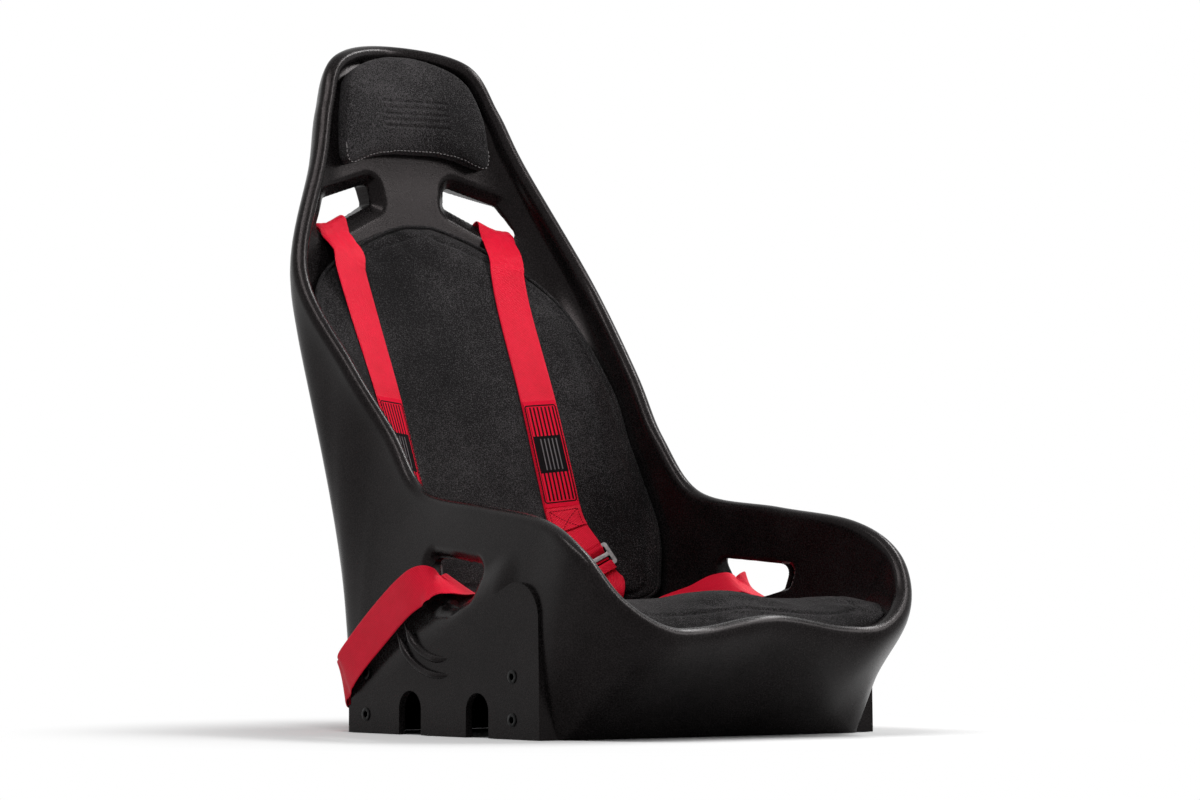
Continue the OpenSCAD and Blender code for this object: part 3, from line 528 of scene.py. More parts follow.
def near_slots(P):
    """Which points lie in a band along a slot's outline, mostly outside it."""
    low, high = low_and_high(P)
    close = low & (np.abs(from_side(P, lap_slot) + 6) < 14)
    close |= low & (np.abs(from_side(P, lap_slot_inside) + 3) < 9)
    return close | high & (np.abs(from_front(P, shoulder_slot) + 8) < 18)


for _ in range(2):
    chosen = near_slots(points_of(shell))
    with editing(shell, False):
        bpy.ops.mesh.select_mode(type="FACE")
        bpy.ops.mesh.select_all(action="DESELECT")
    chosen = [len(f.vertices) < 6 and chosen[list(f.vertices)].any() for f in shell.data.polygons]
    shell.data.polygons.foreach_set("select", np.array(chosen, bool))
    with editing(shell, False):
        bpy.ops.mesh.subdivide(number_cuts=1, smoothness=1.0, quadcorner="INNERVERT")
print(shell.name, "divided to", len(shell.data.polygons), "faces")


# %% Press the surrounds in
def slope(d, depth, width, soft):
    """Depth at distance d outside an opening: a straight slope with a rounded brow."""
    x = width - np.clip(d, 0, None)
    bent = np.where(x > soft, x, np.where(x < -soft, 0, (x + soft) ** 2 / (4 * soft)))
    return depth * np.clip(bent / width, 0, 1)


def lip(d, r):
    """How far a rounded edge of radius r falls away at distance d outside an opening."""
    x = np.clip(1 - d / r, 0, 1)
    return r * (1 - np.sqrt(1 - x ** 2))


P, N = points_of(shell), facing(shell)
side = np.where(P[:, 0] < 0, -1, 1)
low, high = low_and_high(P)
outside, inside = low & (N[:, 0] * side > 0.2), low & (N[:, 0] * side < 0)
front_side = high & (N[:, 1] < 0)
to_hole, to_inner_hole = -from_side(P, lap_slot), -from_side(P, lap_slot_inside)
to_slot = -from_front(P, shoulder_slot)
flush = ease(1 + from_side(P, panel_outline) / 45) * ease((P[:, 1] + 148) / 40) * (P[:, 1] < 178)
P[:, 0] += side * outside * flush * np.maximum(0, panel_x - 0.5 - np.abs(P[:, 0]))
P[:, 0] -= side * outside * (slope(to_hole, depth=8, width=11, soft=4) + lip(to_hole, r=4))
P[:, 0] += side * inside * lip(to_inner_hole, r=6)
pressed = 12.5 - 8 * ease((np.abs(P[:, 0]) - 128) / 26)
P[:, 1] += (front_side * (slope(to_slot, pressed, width=15, soft=2.5) + lip(to_slot, r=2))
            - (high & ~front_side) * lip(to_slot, r=5))
move_points(shell, P)

# %% [markdown]
# ### Mounting panels and ridges
# Each side has a flat panel for the bracket, with a rounded front corner, and two crescent
# ridges that stiffen the wall under the lap slot. A panel is a plane that is extruded and
# bevelled, and a ridge is a tapered bar bent round the slot. A Boolean joins them to the skin.


# %% Panels
ridge_y, ridge_z, ridge_angles, ridge_radii = -5, 175, (30, 106), (104, 85)


def side_panel(sign):
    panel = mesh_piece("panel", [(sign * (panel_x - panel_depth), y, z) for y, z in panel_outline],
                       [tuple(range(len(panel_outline)))])
    with editing(panel):
        bpy.ops.mesh.remove_doubles(threshold=0.0004)
        bpy.ops.mesh.extrude_region_move(
            TRANSFORM_OT_translate={"value": (sign * panel_depth * MM, 0, 0)})
        bpy.ops.mesh.select_mode(type="EDGE")
        bpy.ops.mesh.select_all(action="SELECT")
        bpy.ops.mesh.normals_make_consistent(inside=False)
        bpy.ops.mesh.select_all(action="DESELECT")
    co = [v.co for v in panel.data.vertices]
    for e in panel.data.edges:
        a, b = co[e.vertices[0]], co[e.vertices[1]]
        e.select = min(abs(a.x), abs(b.x)) > (panel_x - 1) * MM and max(a.z, b.z) > 3 * MM
    with editing(panel, False):
        bpy.ops.mesh.bevel(offset=6.5 * MM, segments=6, clamp_overlap=True)
    return panel


def ridge(sign, r):
    """A tapered bar round the lap slot, half sunk in the panel."""
    first, last = ridge_angles
    rings = []
    for a in np.radians(np.linspace(first, last, 33)):
        f = ease((np.degrees(a) - first) / 20) * ease((last - np.degrees(a)) / 26)
        w, h = 1.5 + 3.7 * f, 0.2 + 6.4 * f
        rings.append([(sign * (panel_x - 1.2 + h * math.cos(b)),
                       ridge_y + (r + w * math.sin(b)) * math.cos(a),
                       ridge_z - (r + w * math.sin(b)) * math.sin(a))
                      for b in np.linspace(0, 2 * np.pi, 20, endpoint=False)])
    return rings_to_mesh("ridge", rings)


def combine(obj, others, operation="DIFFERENCE"):
    """Joins closed solids to an object, or takes them out of it."""
    for c in others:
        outward(c)
        m = obj.modifiers.new("join", "BOOLEAN")
        m.operation, m.solver, m.object = operation, "MANIFOLD", c
        apply_all(obj)
        bpy.data.objects.remove(c)
    return obj


combine(shell, [side_panel(k) for k in (-1, 1)], "UNION")
combine(shell, [ridge(k, r) for k in (-1, 1) for r in ridge_radii], "UNION")
print("shell with panels", len(shell.data.polygons), "faces")

# %% [markdown]
# ### Hollow and holes
# Rotational moulding leaves the shell hollow, with one wall all round. The room inside is
# what lies both behind the bucket's wall and inside the skin's wall, less a liner round
# each slot. Cutters are closed solids, and the Manifold solver is quick on those.


# %% The room inside the wall
wall, curtain, over_bucket = 6, 55, 14.0
coarse = (40, 24)


def behind_bucket():
    """All that lies behind the bucket's wall, down past the floor."""
    t, side = rim_stations(*coarse)
    u, s = bucket_grid(coarse[0] + 1, coarse[1] + 1)
    floor = 2.2 * both_ways(floor_line, t)
    down = np.concatenate([floor, 0 * floor[:, :1] - 1], -1)
    return sheet_and_rings("behind", *coarse, off_bucket(u, s, 0 * u - wall),
                           [to_side(rim_centre(t) + curtain * rim_axes(t)[1], side), to_side(down, side)])


def inside_skin(steps=10):
    """All that lies inside the skin's wall, up to a little over the bucket."""
    t, side = rim_stations(*coarse)
    u, s = bucket_grid(coarse[0] + 1, coarse[1] + 1)
    lift = np.zeros_like(u)
    lift[1:-1, 1:-1] = over_bucket
    rings = [to_side(rim_centre(t), side)]
    for q in range(steps + 1):
        v = 0 * t + 0.05 + 0.95 * q / steps
        p = skin(t, v) - wall * skin_normal(t, v)
        if q == steps:
            p[:, 2] = 0
        rings.append(to_side(p, side))
    rings.append(rings[-1] - (0, 0, 1))
    return sheet_and_rings("inside", *coarse, off_bucket(u, s, lift), rings)


def grown(outline, by):
    """A closed outline, moved outwards."""
    step = unit(np.roll(outline, -1, 0) - np.roll(outline, 1, 0))
    out = np.stack([step[:, 1], -step[:, 0]], -1)
    if ((outline - outline.mean(0)) * out).sum() < 0:
        out = -out
    return outline + by * out


def as_many(outline, n=96):
    """The outline walked round again in n equal steps, from its rightmost point."""
    A = np.roll(outline, -int(np.argmax(outline[:, 0])), 0)
    A = np.concatenate([A, A[:1]])
    run = run_of(A)
    return read_off(np.linspace(0, run[-1], n, endpoint=False), run, A)


def slot_cutters(by=0.0, dish=0.0):
    """Closed solids through the four slots, wider by so much, and wider still in the dish."""
    front = grown(as_many(shoulder_slot), by + 0.45 * dish)
    out, into = grown(as_many(lap_slot), by), grown(as_many(lap_slot_inside), by)
    dished = grown(as_many(lap_slot), by + dish) if dish else out
    stack = [(150, into), (207, into), (238, out), (242, dished), (275, dished)]
    cutters = []
    for k in (-1, 1):
        cutters.append(rings_to_mesh("cut", [[(k * a, y, b) for a, b in front] for y in (330, 500)]))
        cutters.append(rings_to_mesh("cut", [[(k * x, a, b) for a, b in ring] for x, ring in stack]))
    return cutters


hollow = combine(behind_bucket(), [inside_skin()], "INTERSECT")
combine(hollow, slot_cutters(by=wall, dish=12))
combine(shell, [hollow])
print("hollow taken out", len(shell.data.polygons), "faces")

# %% [markdown]
# The notches and the holes for the threaded inserts are drilled as on a bench: a cylinder
# is added at its place, and the notch's cylinder is stretched down past the bottom edge.


# %% Slots, notches and insert holes
def drill(x, y, z, radius, depth, sides):
    """A cylinder along X, as a cutter."""
    bpy.ops.object.select_all(action="DESELECT")
    bpy.ops.mesh.primitive_cylinder_add(vertices=sides, radius=radius * MM, depth=depth * MM,
                                        location=(x * MM, y * MM, z * MM), rotation=(0, math.pi / 2, 0))
    bpy.ops.object.transform_apply(location=True, rotation=True, scale=True)
    return bpy.context.object


def notch_tool(sign, y):
    middle = notch_h - notch_w / 2
    tool = drill(sign * notch_x, y, middle, notch_w / 2, 90, 64)
    P = points_of(tool)
    P[P[:, 2] < middle - 0.5, 2] -= notch_h
    move_points(tool, P)
    return tool


combine(shell, slot_cutters())
combine(shell, [notch_tool(k, y) for k in (-1, 1) for y in notch_places])
combine(shell, [drill(k * hole_x, y, z, hole_r, 44, 48) for k in (-1, 1) for y, z in hole_places])
smooth(shell, 38)
even = shell.modifiers.new("even", "WEIGHTED_NORMAL")
even.keep_sharp = True
apply_all(shell)
shell.data.validate()
print("shell", len(shell.data.vertices), "points", len(shell.data.polygons), "faces")

# %% [markdown]
# ## Finishes
# Every finish is built from nodes that read Object coordinates or the piece's own UV map, so
# nothing slides when the view changes. A recipe is a tree of nodes with a short name for
# each kind of node, so that a finish reads like the sum it is.


# %% Node helpers
class Recipe:
    """The tree of nodes of a material or a world, and the shader at its end."""

    def __init__(self, owner, shader):
        owner.use_nodes = True
        self.owner, self.tree = owner, owner.node_tree
        self.shader = self.tree.nodes[shader]

    def feed(self, socket, x):
        """Writes a number or a colour into a socket, or links an output to it."""
        if isinstance(x, (int, float)):
            socket.default_value = x
        elif isinstance(x, tuple):
            socket.default_value = (*x, 1)
        else:
            self.tree.links.new(x, socket)

    def shade(self, inputs):
        for name, x in inputs.items():
            self.feed(self.shader.inputs[name], x)
        return self.owner

    def node(self, kind, **inputs):
        n = self.tree.nodes.new("ShaderNode" + kind)
        for name, x in inputs.items():
            self.feed(n.inputs[name], x)
        return n

    def where(self, kind="Object"):
        return self.node("TexCoord").outputs[kind]

    def tape(self):
        """Metres across and along a tape, from its UV map."""
        return self.node("SeparateXYZ", Vector=self.where("UV")).outputs[:2]

    def noise(self, where, scale, detail, roughness):
        n = self.node("TexNoise", Vector=where, Scale=scale, Detail=detail, Roughness=roughness)
        return n.outputs["Fac"]

    def ramp(self, value, *stops):
        r = self.node("ValToRGB", Fac=value)
        first, last = r.color_ramp.elements
        first.position, last.position = stops[0][0], stops[-1][0]
        for at, _ in stops[1:-1]:
            r.color_ramp.elements.new(at)
        for e, (_, c) in zip(sorted(r.color_ramp.elements, key=lambda e: e.position), stops):
            e.color = (*c, 1)
        return r.outputs["Color"]

    def op(self, name, *values):
        n = self.node("Math")
        n.operation = name
        for socket, x in zip(n.inputs, values):
            self.feed(socket, x)
        return n.outputs[0]

    def add(self, a, b):
        return self.op("ADD", a, b)

    def times(self, a, b):
        return self.op("MULTIPLY", a, b)

    def between(self, x, low, high):
        return self.times(self.op("GREATER_THAN", x, low), self.op("LESS_THAN", x, high))

    def wave(self, x, length):
        return self.op("SINE", self.times(x, 2 * math.pi / length))

    def mix(self, factor, first, second):
        m = self.node("Mix")
        m.data_type = "RGBA"
        for k, x in ((0, factor), (6, first), (7, second)):
            self.feed(m.inputs[k], x)
        return m.outputs[2]

    def bump(self, height, distance, strength):
        return self.node("Bump", Height=height, Distance=distance, Strength=strength).outputs["Normal"]

    def seen(self):
        """1 for rays from the camera and for what mirrors or glass show, and 0 for the rest."""
        rays = self.node("LightPath").outputs
        return self.op("MAXIMUM", rays["Is Camera Ray"],
                       self.op("MAXIMUM", rays["Is Glossy Ray"], rays["Is Transmission Ray"]))


def recipe(name):
    return Recipe(bpy.data.materials.new(name), "Principled BSDF")


def uneven(r, value, rough, more):
    """A roughness that follows a noise, from a little under `rough` to `more` over it."""
    return r.ramp(value, (0.3, (rough - 0.08,) * 3), (0.75, (rough + more,) * 3))


# %% [markdown]
# ### Moulded plastic
# The mould is grit-blasted, so the plastic comes out with a fine grain. The grain catches
# the light as sparkling specks along the rolled rim. The gloss is low, and a little uneven.


# %% Moulded plastic
def moulded_plastic(name, dark, light, rough, ior, grain, depth, tint=(1, 1, 1)):
    r = recipe(name)
    where = r.where()
    fine, patch = r.noise(where, grain, 2, 0.6), r.noise(where, 14, 4, 0.6)
    fleck = r.add(r.times(fine, 0.7), r.times(patch, 0.3))
    return r.shade({"Base Color": r.ramp(fleck, (0.4, dark), (0.62, light)),
                    "Roughness": uneven(r, fine, rough, 0.12),
                    "Normal": r.bump(fine, depth, 0.6), "IOR": ior, "Specular Tint": tint})


shell_black = moulded_plastic("shell_black", (0.0015, 0.0013, 0.0013), (0.014, 0.0122, 0.0125),
                              0.24, 1.185, 620, 0.00018, (1, 0.88, 0.88))
cover_black = moulded_plastic("cover_black", (0.006, 0.006, 0.006), (0.011, 0.011, 0.011),
                              0.3, 1.3, 900, 0.0002)
button_red = moulded_plastic("button_red", (0.42, 0.008, 0.014), (0.55, 0.012, 0.02),
                             0.28, 1.4, 900, 0.0001)


# %% [markdown]
# ### Pad cloth
# The pads wear a short, dry, brushed cloth: nearly black, with pale fibre ends that show as
# a fine speckle. Sheen gives the soft rim of light that such a nap has.


# %% Pad cloth
def pad_cloth(name, dark, light, speck):
    r = recipe(name)
    where = r.where()
    fibre, patch = r.noise(where, 900, 3, 0.7), r.noise(where, 8, 3, 0.6)
    cell = r.node("TexVoronoi", Vector=where, Scale=520).outputs["Distance"]
    height = r.add(fibre, r.times(cell, 0.5))
    tone = r.ramp(r.add(fibre, r.times(patch, 0.25)), (0.42, dark), (0.64, light), (0.74, speck))
    return r.shade({"Base Color": tone, "Normal": r.bump(height, 0.0006, 0.7), "Roughness": 0.95,
                    "Specular IOR Level": 0.08, "Sheen Weight": 0.035, "Sheen Roughness": 0.5})


pad_black = pad_cloth("pad_black", (0.0014, 0.0013, 0.0014), (0.0066, 0.0061, 0.0063), (0.065, 0.06, 0.062))
hook_black = pad_cloth("hook_black", (0.006, 0.006, 0.006), (0.014, 0.014, 0.014), (0.03, 0.03, 0.03))
thread_grey = pad_cloth("thread_grey", (0.10, 0.095, 0.095), (0.2, 0.19, 0.19), (0.3, 0.29, 0.29))
thread_dark = pad_cloth("thread_dark", (0.03, 0.001, 0.002), (0.07, 0.002, 0.005), (0.1, 0.004, 0.008))


# %% [markdown]
# ### Webbing
# Harness tape is polyester, woven in a twill with ribs along its edges. Its UV map runs in
# metres across and along the tape, so the weave has its true size and follows every bend.


# %% Webbing
rib_width, pick_length = 0.0017, 0.0021


def webbing(name, dark, light):
    r = recipe(name)
    across, along = r.tape()
    rib = r.wave(across, rib_width)
    pick = r.wave(r.add(along, r.times(across, 0.5)), pick_length)
    weave = r.times(r.add(rib, 1.2), r.add(pick, 1.4))
    where = r.where()
    patch, fuzz, fleck = (r.noise(where, *q) for q in [(45, 4, 0.6), (2400, 2, 0.6), (750, 2, 0.7)])
    tone = r.add(r.times(weave, 0.08), r.add(r.times(patch, 0.4), r.times(fleck, 0.5)))
    height = r.add(weave, r.times(fuzz, 0.6))
    return r.shade({"Base Color": r.ramp(tone, (0.3, dark), (0.75, light)), "Roughness": 0.45,
                    "Normal": r.bump(height, 0.0002, 0.7), "Specular IOR Level": 0.12})


strap_red = webbing("strap_red", (0.56, 0.0025, 0.014), (0.84, 0.008, 0.042))


# %% [markdown]
# ### Woven label
# The label is a red tape patch with a black border and plain black and grey lines. It bears
# no words. The pattern is drawn from its UV map, in metres from the label's own middle.


# %% Woven label
label_size, label_corner = (0.046, 0.135), 0.005
stripe_pitch, thread_pitch = 0.0052, 0.0011


def woven_label(name, red, black, grey):
    r = recipe(name)
    across, along = r.tape()

    def past_corner(x, size):
        return r.op("MAXIMUM", r.op("SUBTRACT", r.op("ABSOLUTE", x), size / 2 - label_corner), 0.0)

    a, b = past_corner(across, label_size[0]), past_corner(along, label_size[1])
    edge = r.op("SUBTRACT", label_corner, r.op("SQRT", r.add(r.times(a, a), r.times(b, b))))
    border, field = r.between(edge, 0.0013, 0.0031), r.op("GREATER_THAN", edge, 0.0042)
    middle = r.between(along, -0.024, 0.026)
    stripe = r.op("FRACT", r.times(r.add(across, 0.1), 1 / stripe_pitch))
    end_lines = r.times(r.op("SUBTRACT", 1.0, middle), r.between(stripe, 0.28, 0.74))
    core = r.times(r.between(along, -0.020, 0.022), r.op("LESS_THAN", r.op("ABSOLUTE", across), 0.0135))
    pale = r.times(core, r.between(stripe, 0.34, 0.62))
    dark = r.op("MINIMUM", r.add(border, r.times(field, r.op("MAXIMUM", middle, end_lines))), 1.0)
    fuzz = r.noise(r.where(), 1500, 3, 0.6)
    base = r.mix(dark, r.ramp(fuzz, (0.35, tuple(0.7 * c for c in red)), (0.7, red)), black)
    thread = r.add(r.wave(along, thread_pitch), fuzz)
    return r.shade({"Base Color": r.mix(pale, base, grey), "Normal": r.bump(thread, 0.00015, 0.6),
                    "Roughness": 0.7, "Specular IOR Level": 0.04})


label_weave = woven_label("label_weave", (0.80, 0.007, 0.036), (0.004, 0.003, 0.0035), (0.13, 0.12, 0.125))


# %% [markdown]
# ### Metal
# The slides, plates and bolts are steel with a dull zinc coat: cloudy, and rougher in
# patches. The threaded inserts are blackened.


# %% Metal
def coated_metal(name, dark, light, rough=0.36):
    r = recipe(name)
    where = r.where()
    cloud, fine = r.noise(where, 240, 5, 0.65), r.noise(where, 2400, 3, 0.7)
    return r.shade({"Base Color": r.ramp(cloud, (0.3, dark), (0.7, light)),
                    "Roughness": uneven(r, fine, rough, 0.14),
                    "Normal": r.bump(fine, 0.00006, 0.4), "Metallic": 1.0})


zinc_grey = coated_metal("zinc_grey", (0.10, 0.095, 0.095), (0.24, 0.22, 0.22))
spring_steel = coated_metal("spring_steel", (0.42, 0.42, 0.43), (0.6, 0.6, 0.6), 0.25)
black_steel = coated_metal("black_steel", (0.006, 0.006, 0.006), (0.018, 0.018, 0.018), 0.3)

# %% [markdown]
# ## Dressing the imported pieces
# The imported model's own pieces keep their meshes and get a finish through their slots.
# `finish` does the same for a new piece, and hides the imported pieces it stands for.

# %% Dress the imported pieces
finish_of = {"shell_plastic": shell_black, "pad_fabric": pad_black, "hook_tape": hook_black,
             "webbing": strap_red, "label": label_weave, "steel": zinc_grey,
             "cover_plastic": cover_black, "button_plastic": button_red}
slot_of = {(row.get("node") or row.get("name")): row.get("material_slot")
           for row in frame["record"]["subparts"]}
for name, obj in frame["nodes"].items():
    obj.data.materials.clear()
    obj.data.materials.append(finish_of.get(slot_of.get(name), zinc_grey))
for name, mat in (("mount_inserts_right", black_steel), ("mount_inserts_left", black_steel),
                  ("button_spring", spring_steel), ("latch_pin", spring_steel)):
    frame["nodes"][name].data.materials[0] = mat
print("dressed", len(frame["nodes"]), "pieces")


def finish(obj, slot, replaces=(), mat=None):
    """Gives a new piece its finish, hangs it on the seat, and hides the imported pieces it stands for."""
    obj.data.materials.clear()
    obj.data.materials.append(mat or finish_of[slot])
    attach(obj, "seat")
    if replaces:
        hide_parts(*replaces)
    print(obj.name, len(obj.data.polygons), "faces")
    return obj


finish(shell, "shell_plastic", ["seat_shell"])

# %% [markdown]
# ## The pads
# Three foam pads lie on the bucket: head, back and seat. Each starts as rings round a middle
# point, laid on the bucket's surface, so it follows the shell exactly. Cloth simulation then
# swells the cover as foam does, while the underside is pinned to the shell. Seams come last,
# because remeshing would erase them.


# %% Places on the bucket
half_width = 230                            # of the bucket, for a first guess


def locate(x, c, axis, u, s, n=12):
    """The place (u, s) on the bucket with a given x and a given y (axis 1) or z (axis 2)."""
    return solve(bucket, x, c, axis, u, s, (1, 0.3), (0.05, last_row - 0.05), (-0.98, 0.98), n)


def row_near(z):
    return np.where(z > 675, 2.8, np.where(z > 415, 5 - (z - 415) / 130, 7.4 - (z - 150) / 110))


back_pad_half = [(0, 152), (120, 151), (185, 157), (196, 190), (198, 268), (197, 356), (205, 408), (207, 453),
                 (204, 492), (193, 525), (164, 559), (109, 593), (39, 620), (0, 625)]
head_pad_half = [(0, 717), (60, 713), (111, 702), (112, 750), (95, 805), (50, 829), (0, 834)]
pad_gap = 3.2


def pad_outline(half, steps):
    """A pad's outline as places on the bucket."""
    H = np.array(half, float)
    A = np.concatenate([H, H[-2:0:-1] * (-1, 1)])
    u, s = locate(A[:, 0], A[:, 1], 2, row_near(A[:, 1]), A[:, 0] / half_width)
    return closed_curve(np.stack([u, s], -1), np.arange(len(A) * steps) / steps)


# %% Pad blank
def pad_blank(name, half, middle, crown, edge, steps, power, shrink):
    """A closed pad on the bucket: its rim stands `edge` high and its middle `crown` high."""
    line, z = pad_outline(half, steps), np.array([float(middle)])
    centre = np.concatenate(locate(0 * z, z, 2, row_near(z), 0 * z))
    f_under = np.linspace(0.06, 1, 20)
    f_over = np.concatenate([[1, 1, 0.993, 0.98, 0.96], np.linspace(0.93, 0.06, 22)])
    high = pad_gap + edge + (crown - edge) * (1 - f_over ** power) ** 0.6
    high[:2] = pad_gap + 0.35 * edge, pad_gap + 0.75 * edge
    rings = []
    for f, lift in [(f, pad_gap) for f in f_under] + list(zip(f_over, high)):
        q = centre + f * (1 - shrink) * (line - centre)
        rings.append(off_bucket(q[:, 0], q[:, 1], np.full(len(q), lift)))
    return outward(rings_to_mesh(name, rings)), centre


# %% Swelling the cover
glue_height, pressure, swell_frames = pad_gap + 2.4, 4, 20


def glued_down(P):
    """Which points lie on the bucket, judged from the nearest of a grid of its points."""
    u, s = bucket_grid(260, 160, 0.98)
    G, GN = bucket(u, s).reshape(-1, 3), bucket_normal(u, s).reshape(-1, 3)
    hit = nearest(P, G)[0]
    return ((P - G[hit]) * GN[hit]).sum(1) < glue_height


def swell(pad, voxel, cap):
    """Remeshes a pad and lets cloth with inner pressure swell it, by `cap` mm at the most."""
    alone(pad)
    pad.data.remesh_voxel_size = voxel * MM
    bpy.ops.object.voxel_remesh()
    start = points_of(pad)
    pins = pad.vertex_groups.new(name="glued")
    pins.add([int(i) for i in np.nonzero(glued_down(start))[0]], 1.0, "REPLACE")
    cloth = pad.modifiers.new("cloth", "CLOTH")
    cloth.settings.vertex_group_mass = "glued"
    cloth.settings.use_pressure = True
    cloth.settings.uniform_pressure_force = pressure
    cloth.settings.effector_weights.gravity = 0
    cloth.collision_settings.use_collision = False
    cloth.point_cache.frame_start, cloth.point_cache.frame_end = 1, swell_frames
    for f in range(1, swell_frames + 1):
        bpy.context.scene.frame_set(f)
    step = points_of(pad.evaluated_get(bpy.context.evaluated_depsgraph_get())) - start
    pad.modifiers.remove(cloth)
    far = np.linalg.norm(step, axis=1, keepdims=True)
    move_points(pad, start + step * np.minimum(1, cap / np.maximum(far, 1e-6)))
    pad.vertex_groups.remove(pins)
    bpy.context.scene.frame_set(1)
    print(pad.name, "swelled by up to", round(float(np.minimum(far, cap).max()), 1), "mm")
    relax = pad.modifiers.new("relax", "SMOOTH")
    relax.factor, relax.iterations = 0.5, 3
    fine = pad.modifiers.new("fine", "SUBSURF")
    fine.levels = fine.render_levels = 1
    apply_all(pad)
    smooth(pad, 60)


# %% Seams and piping
def sink_seam(obj, line, depth, width):
    """Presses a seam into a soft piece along a line of points."""
    P, N = points_of(obj), facing(obj)
    d = nearest(P, line)[1]
    move_points(obj, P - N * (depth * np.exp(-(d / width) ** 2))[:, None])


def laid_on(obj, line):
    """The points of a soft piece that are nearest to a line, and the way they face."""
    P, N = points_of(obj), facing(obj)
    hits = nearest(line, P)[0]
    return P[hits], N[hits]


def cord(name, line, radius, sides=8):
    """A round cord along a closed line."""
    T = unit(np.roll(line, -1, 0) - np.roll(line, 1, 0))
    side = unit(np.cross(T, np.where(np.abs(T[:, 1:2]) > 0.9, [[0, 0, 1.0]], [[0, 1.0, 0]])))
    up = np.cross(side, T)
    a = np.linspace(0, 2 * np.pi, sides, endpoint=False)
    around = side[:, None] * np.cos(a)[:, None] + up[:, None] * np.sin(a)[:, None]
    return outward(rings_to_mesh(name, line[:, None] + radius * around, loop=True))


def stitches(name, line, normals, length, gap, thick):
    """Single stitches along a line: short rounded bars that dip in at both ends."""
    run = run_of(line)
    places, rise = np.array([0, 0.12, 0.5, 0.88, 1]), np.array([-0.5, 0.1, 0.35, 0.1, -0.5])
    radii, turn = np.array([0.25, 0.45, 0.5, 0.45, 0.25]), np.arange(6) * math.pi / 3
    rings, faces = [], []
    for start in np.arange(gap / 2, run[-1] - length, length + gap):
        at = places * length + start
        c, n = read_off(at, run, line), unit(read_off(at, run, normals))
        s = unit(np.cross(n, unit(c[-1] - c[0])))
        c = c + n * (rise * thick)[:, None]
        r = radii * thick
        faces += ring_faces(len(places), len(turn), base=len(rings) * len(turn))
        rings += [[c[j] + r[j] * (s[j] * math.cos(b) + n[j] * math.sin(b)) for b in turn]
                  for j in range(len(places))]
    return outward(mesh_piece(name, np.array(rings).reshape(-1, 3), faces))


# %% [markdown]
# ### Back pad
# The back pad has a rolled border: a seam runs about 16 mm inside its edge, and a cord of
# piping closes the edge itself.


# %% Back pad
def inset_line(half, steps, middle, inset, lift):
    """A line round a pad, `inset` mm inside its edge."""
    line = pad_outline(half, steps)
    lift = np.full(len(line), lift)
    edge = off_bucket(line[:, 0], line[:, 1], lift)
    core = off_bucket(*(np.full(len(line), m) for m in middle), lift)
    f = 1 - inset / np.linalg.norm(edge - core, axis=1)
    q = middle + f[:, None] * (line - middle)
    return off_bucket(q[:, 0], q[:, 1], lift)


back_pad, middle = pad_blank("back_pad_cover", back_pad_half, middle=370, crown=15.5, edge=6,
                             steps=8, power=6, shrink=0.004)
swell(back_pad, voxel=5.6, cap=5)
sink_seam(back_pad, inset_line(back_pad_half, 24, middle, 17, 14), depth=3.0, width=2.6)
piping = cord("piping", inset_line(back_pad_half, 10, middle, 0.5, 7.5), 2.4)
smooth(piping, 35)
back_pad = join("back_pad_cover", [back_pad, piping])
finish(back_pad, "pad_fabric", ["back_pad"])

# %% [markdown]
# ### Head pad
# The head pad is thicker, with an upright side wall and a row of stitches along its lower
# edge. Its middle carries a small block of plain sewn lines.

# %% Head pad
head_pad, middle = pad_blank("head_pad_cover", head_pad_half, middle=765, crown=19, edge=15,
                             steps=12, power=12, shrink=0.006)
swell(head_pad, voxel=3.5, cap=5)
P, N = points_of(head_pad), facing(head_pad)
lines = np.zeros(len(P))
for z in range(752, 785, 8):
    lines += ease((52 - np.abs(P[:, 0])) / 3) * np.exp(-((P[:, 2] - z) / 1.5) ** 2)
move_points(head_pad, P - N * (1.6 * lines * (N[:, 1] < -0.4))[:, None])
sink_seam(head_pad, inset_line(head_pad_half, 24, middle, 4, 14), depth=1.2, width=2.0)
low_edge = inset_line(head_pad_half, 24, middle, 3.2, 19)
low_edge = low_edge[low_edge[:, 2] < 730]
P, N = laid_on(head_pad, low_edge[np.argsort(low_edge[:, 0])])
thread = stitches("head_pad_stitches", P + 0.2 * N, N, 3.4, 2.2, 1.1)
finish(head_pad, "pad_fabric", ["head_pad"])
finish(thread, "pad_fabric", mat=thread_grey)

# %% [markdown]
# ### Seat cushion
# The cushion has a low hump between the thighs and a bolster along each side. It is built
# as a grid: its underside lies on the bucket, its top follows rows of driving numbers.

# %% Seat cushion
# Each row: y, half width, and the height in the middle, beside it and on the bolster.
cushion_rows = np.array([
    (170, 158, 124, 123, 126), (150, 172, 125, 124, 128), (90, 184, 125, 124, 131),
    (0, 196, 132, 127, 143), (-90, 204, 148, 141, 156), (-170, 212, 163, 152, 168),
    (-225, 213, 172, 158, 175), (-262, 208, 163, 152, 167), (-286, 196, 143, 138, 147)])


def cushion_point(e, f):
    """The top and the underside at e from rear (0) to front (1) and f from -1 to 1 across."""
    row = through(cushion_rows, (len(cushion_rows) - 1) * e)
    y, half, hump, low, bolster = (row[..., k] for k in range(5))
    across = np.sin(np.pi / 2 * f)
    x = across * half * 0.99
    u, s = locate(x, y, 1, 9.2 - (y - 60) / 90, x / half_width, 16)
    b = off_bucket(u, s, 0 * u + pad_gap)
    top = low + (hump - low) * np.exp(-(x / 52) ** 2)
    top = top + (bolster - low) * np.exp(-((np.abs(x) - half + 22) / 34) ** 2)
    side_fall = (1 - np.clip(np.abs(across), 0, 1) ** 6) ** 0.6
    end_fall = (1 - np.clip(np.abs(2 * e - 1), 0, 1) ** 8) ** 0.6
    z = b[..., 2] + 6 + np.maximum(0, top - b[..., 2] - 7) * (side_fall * end_fall)
    return np.stack([x, y, z], -1), b


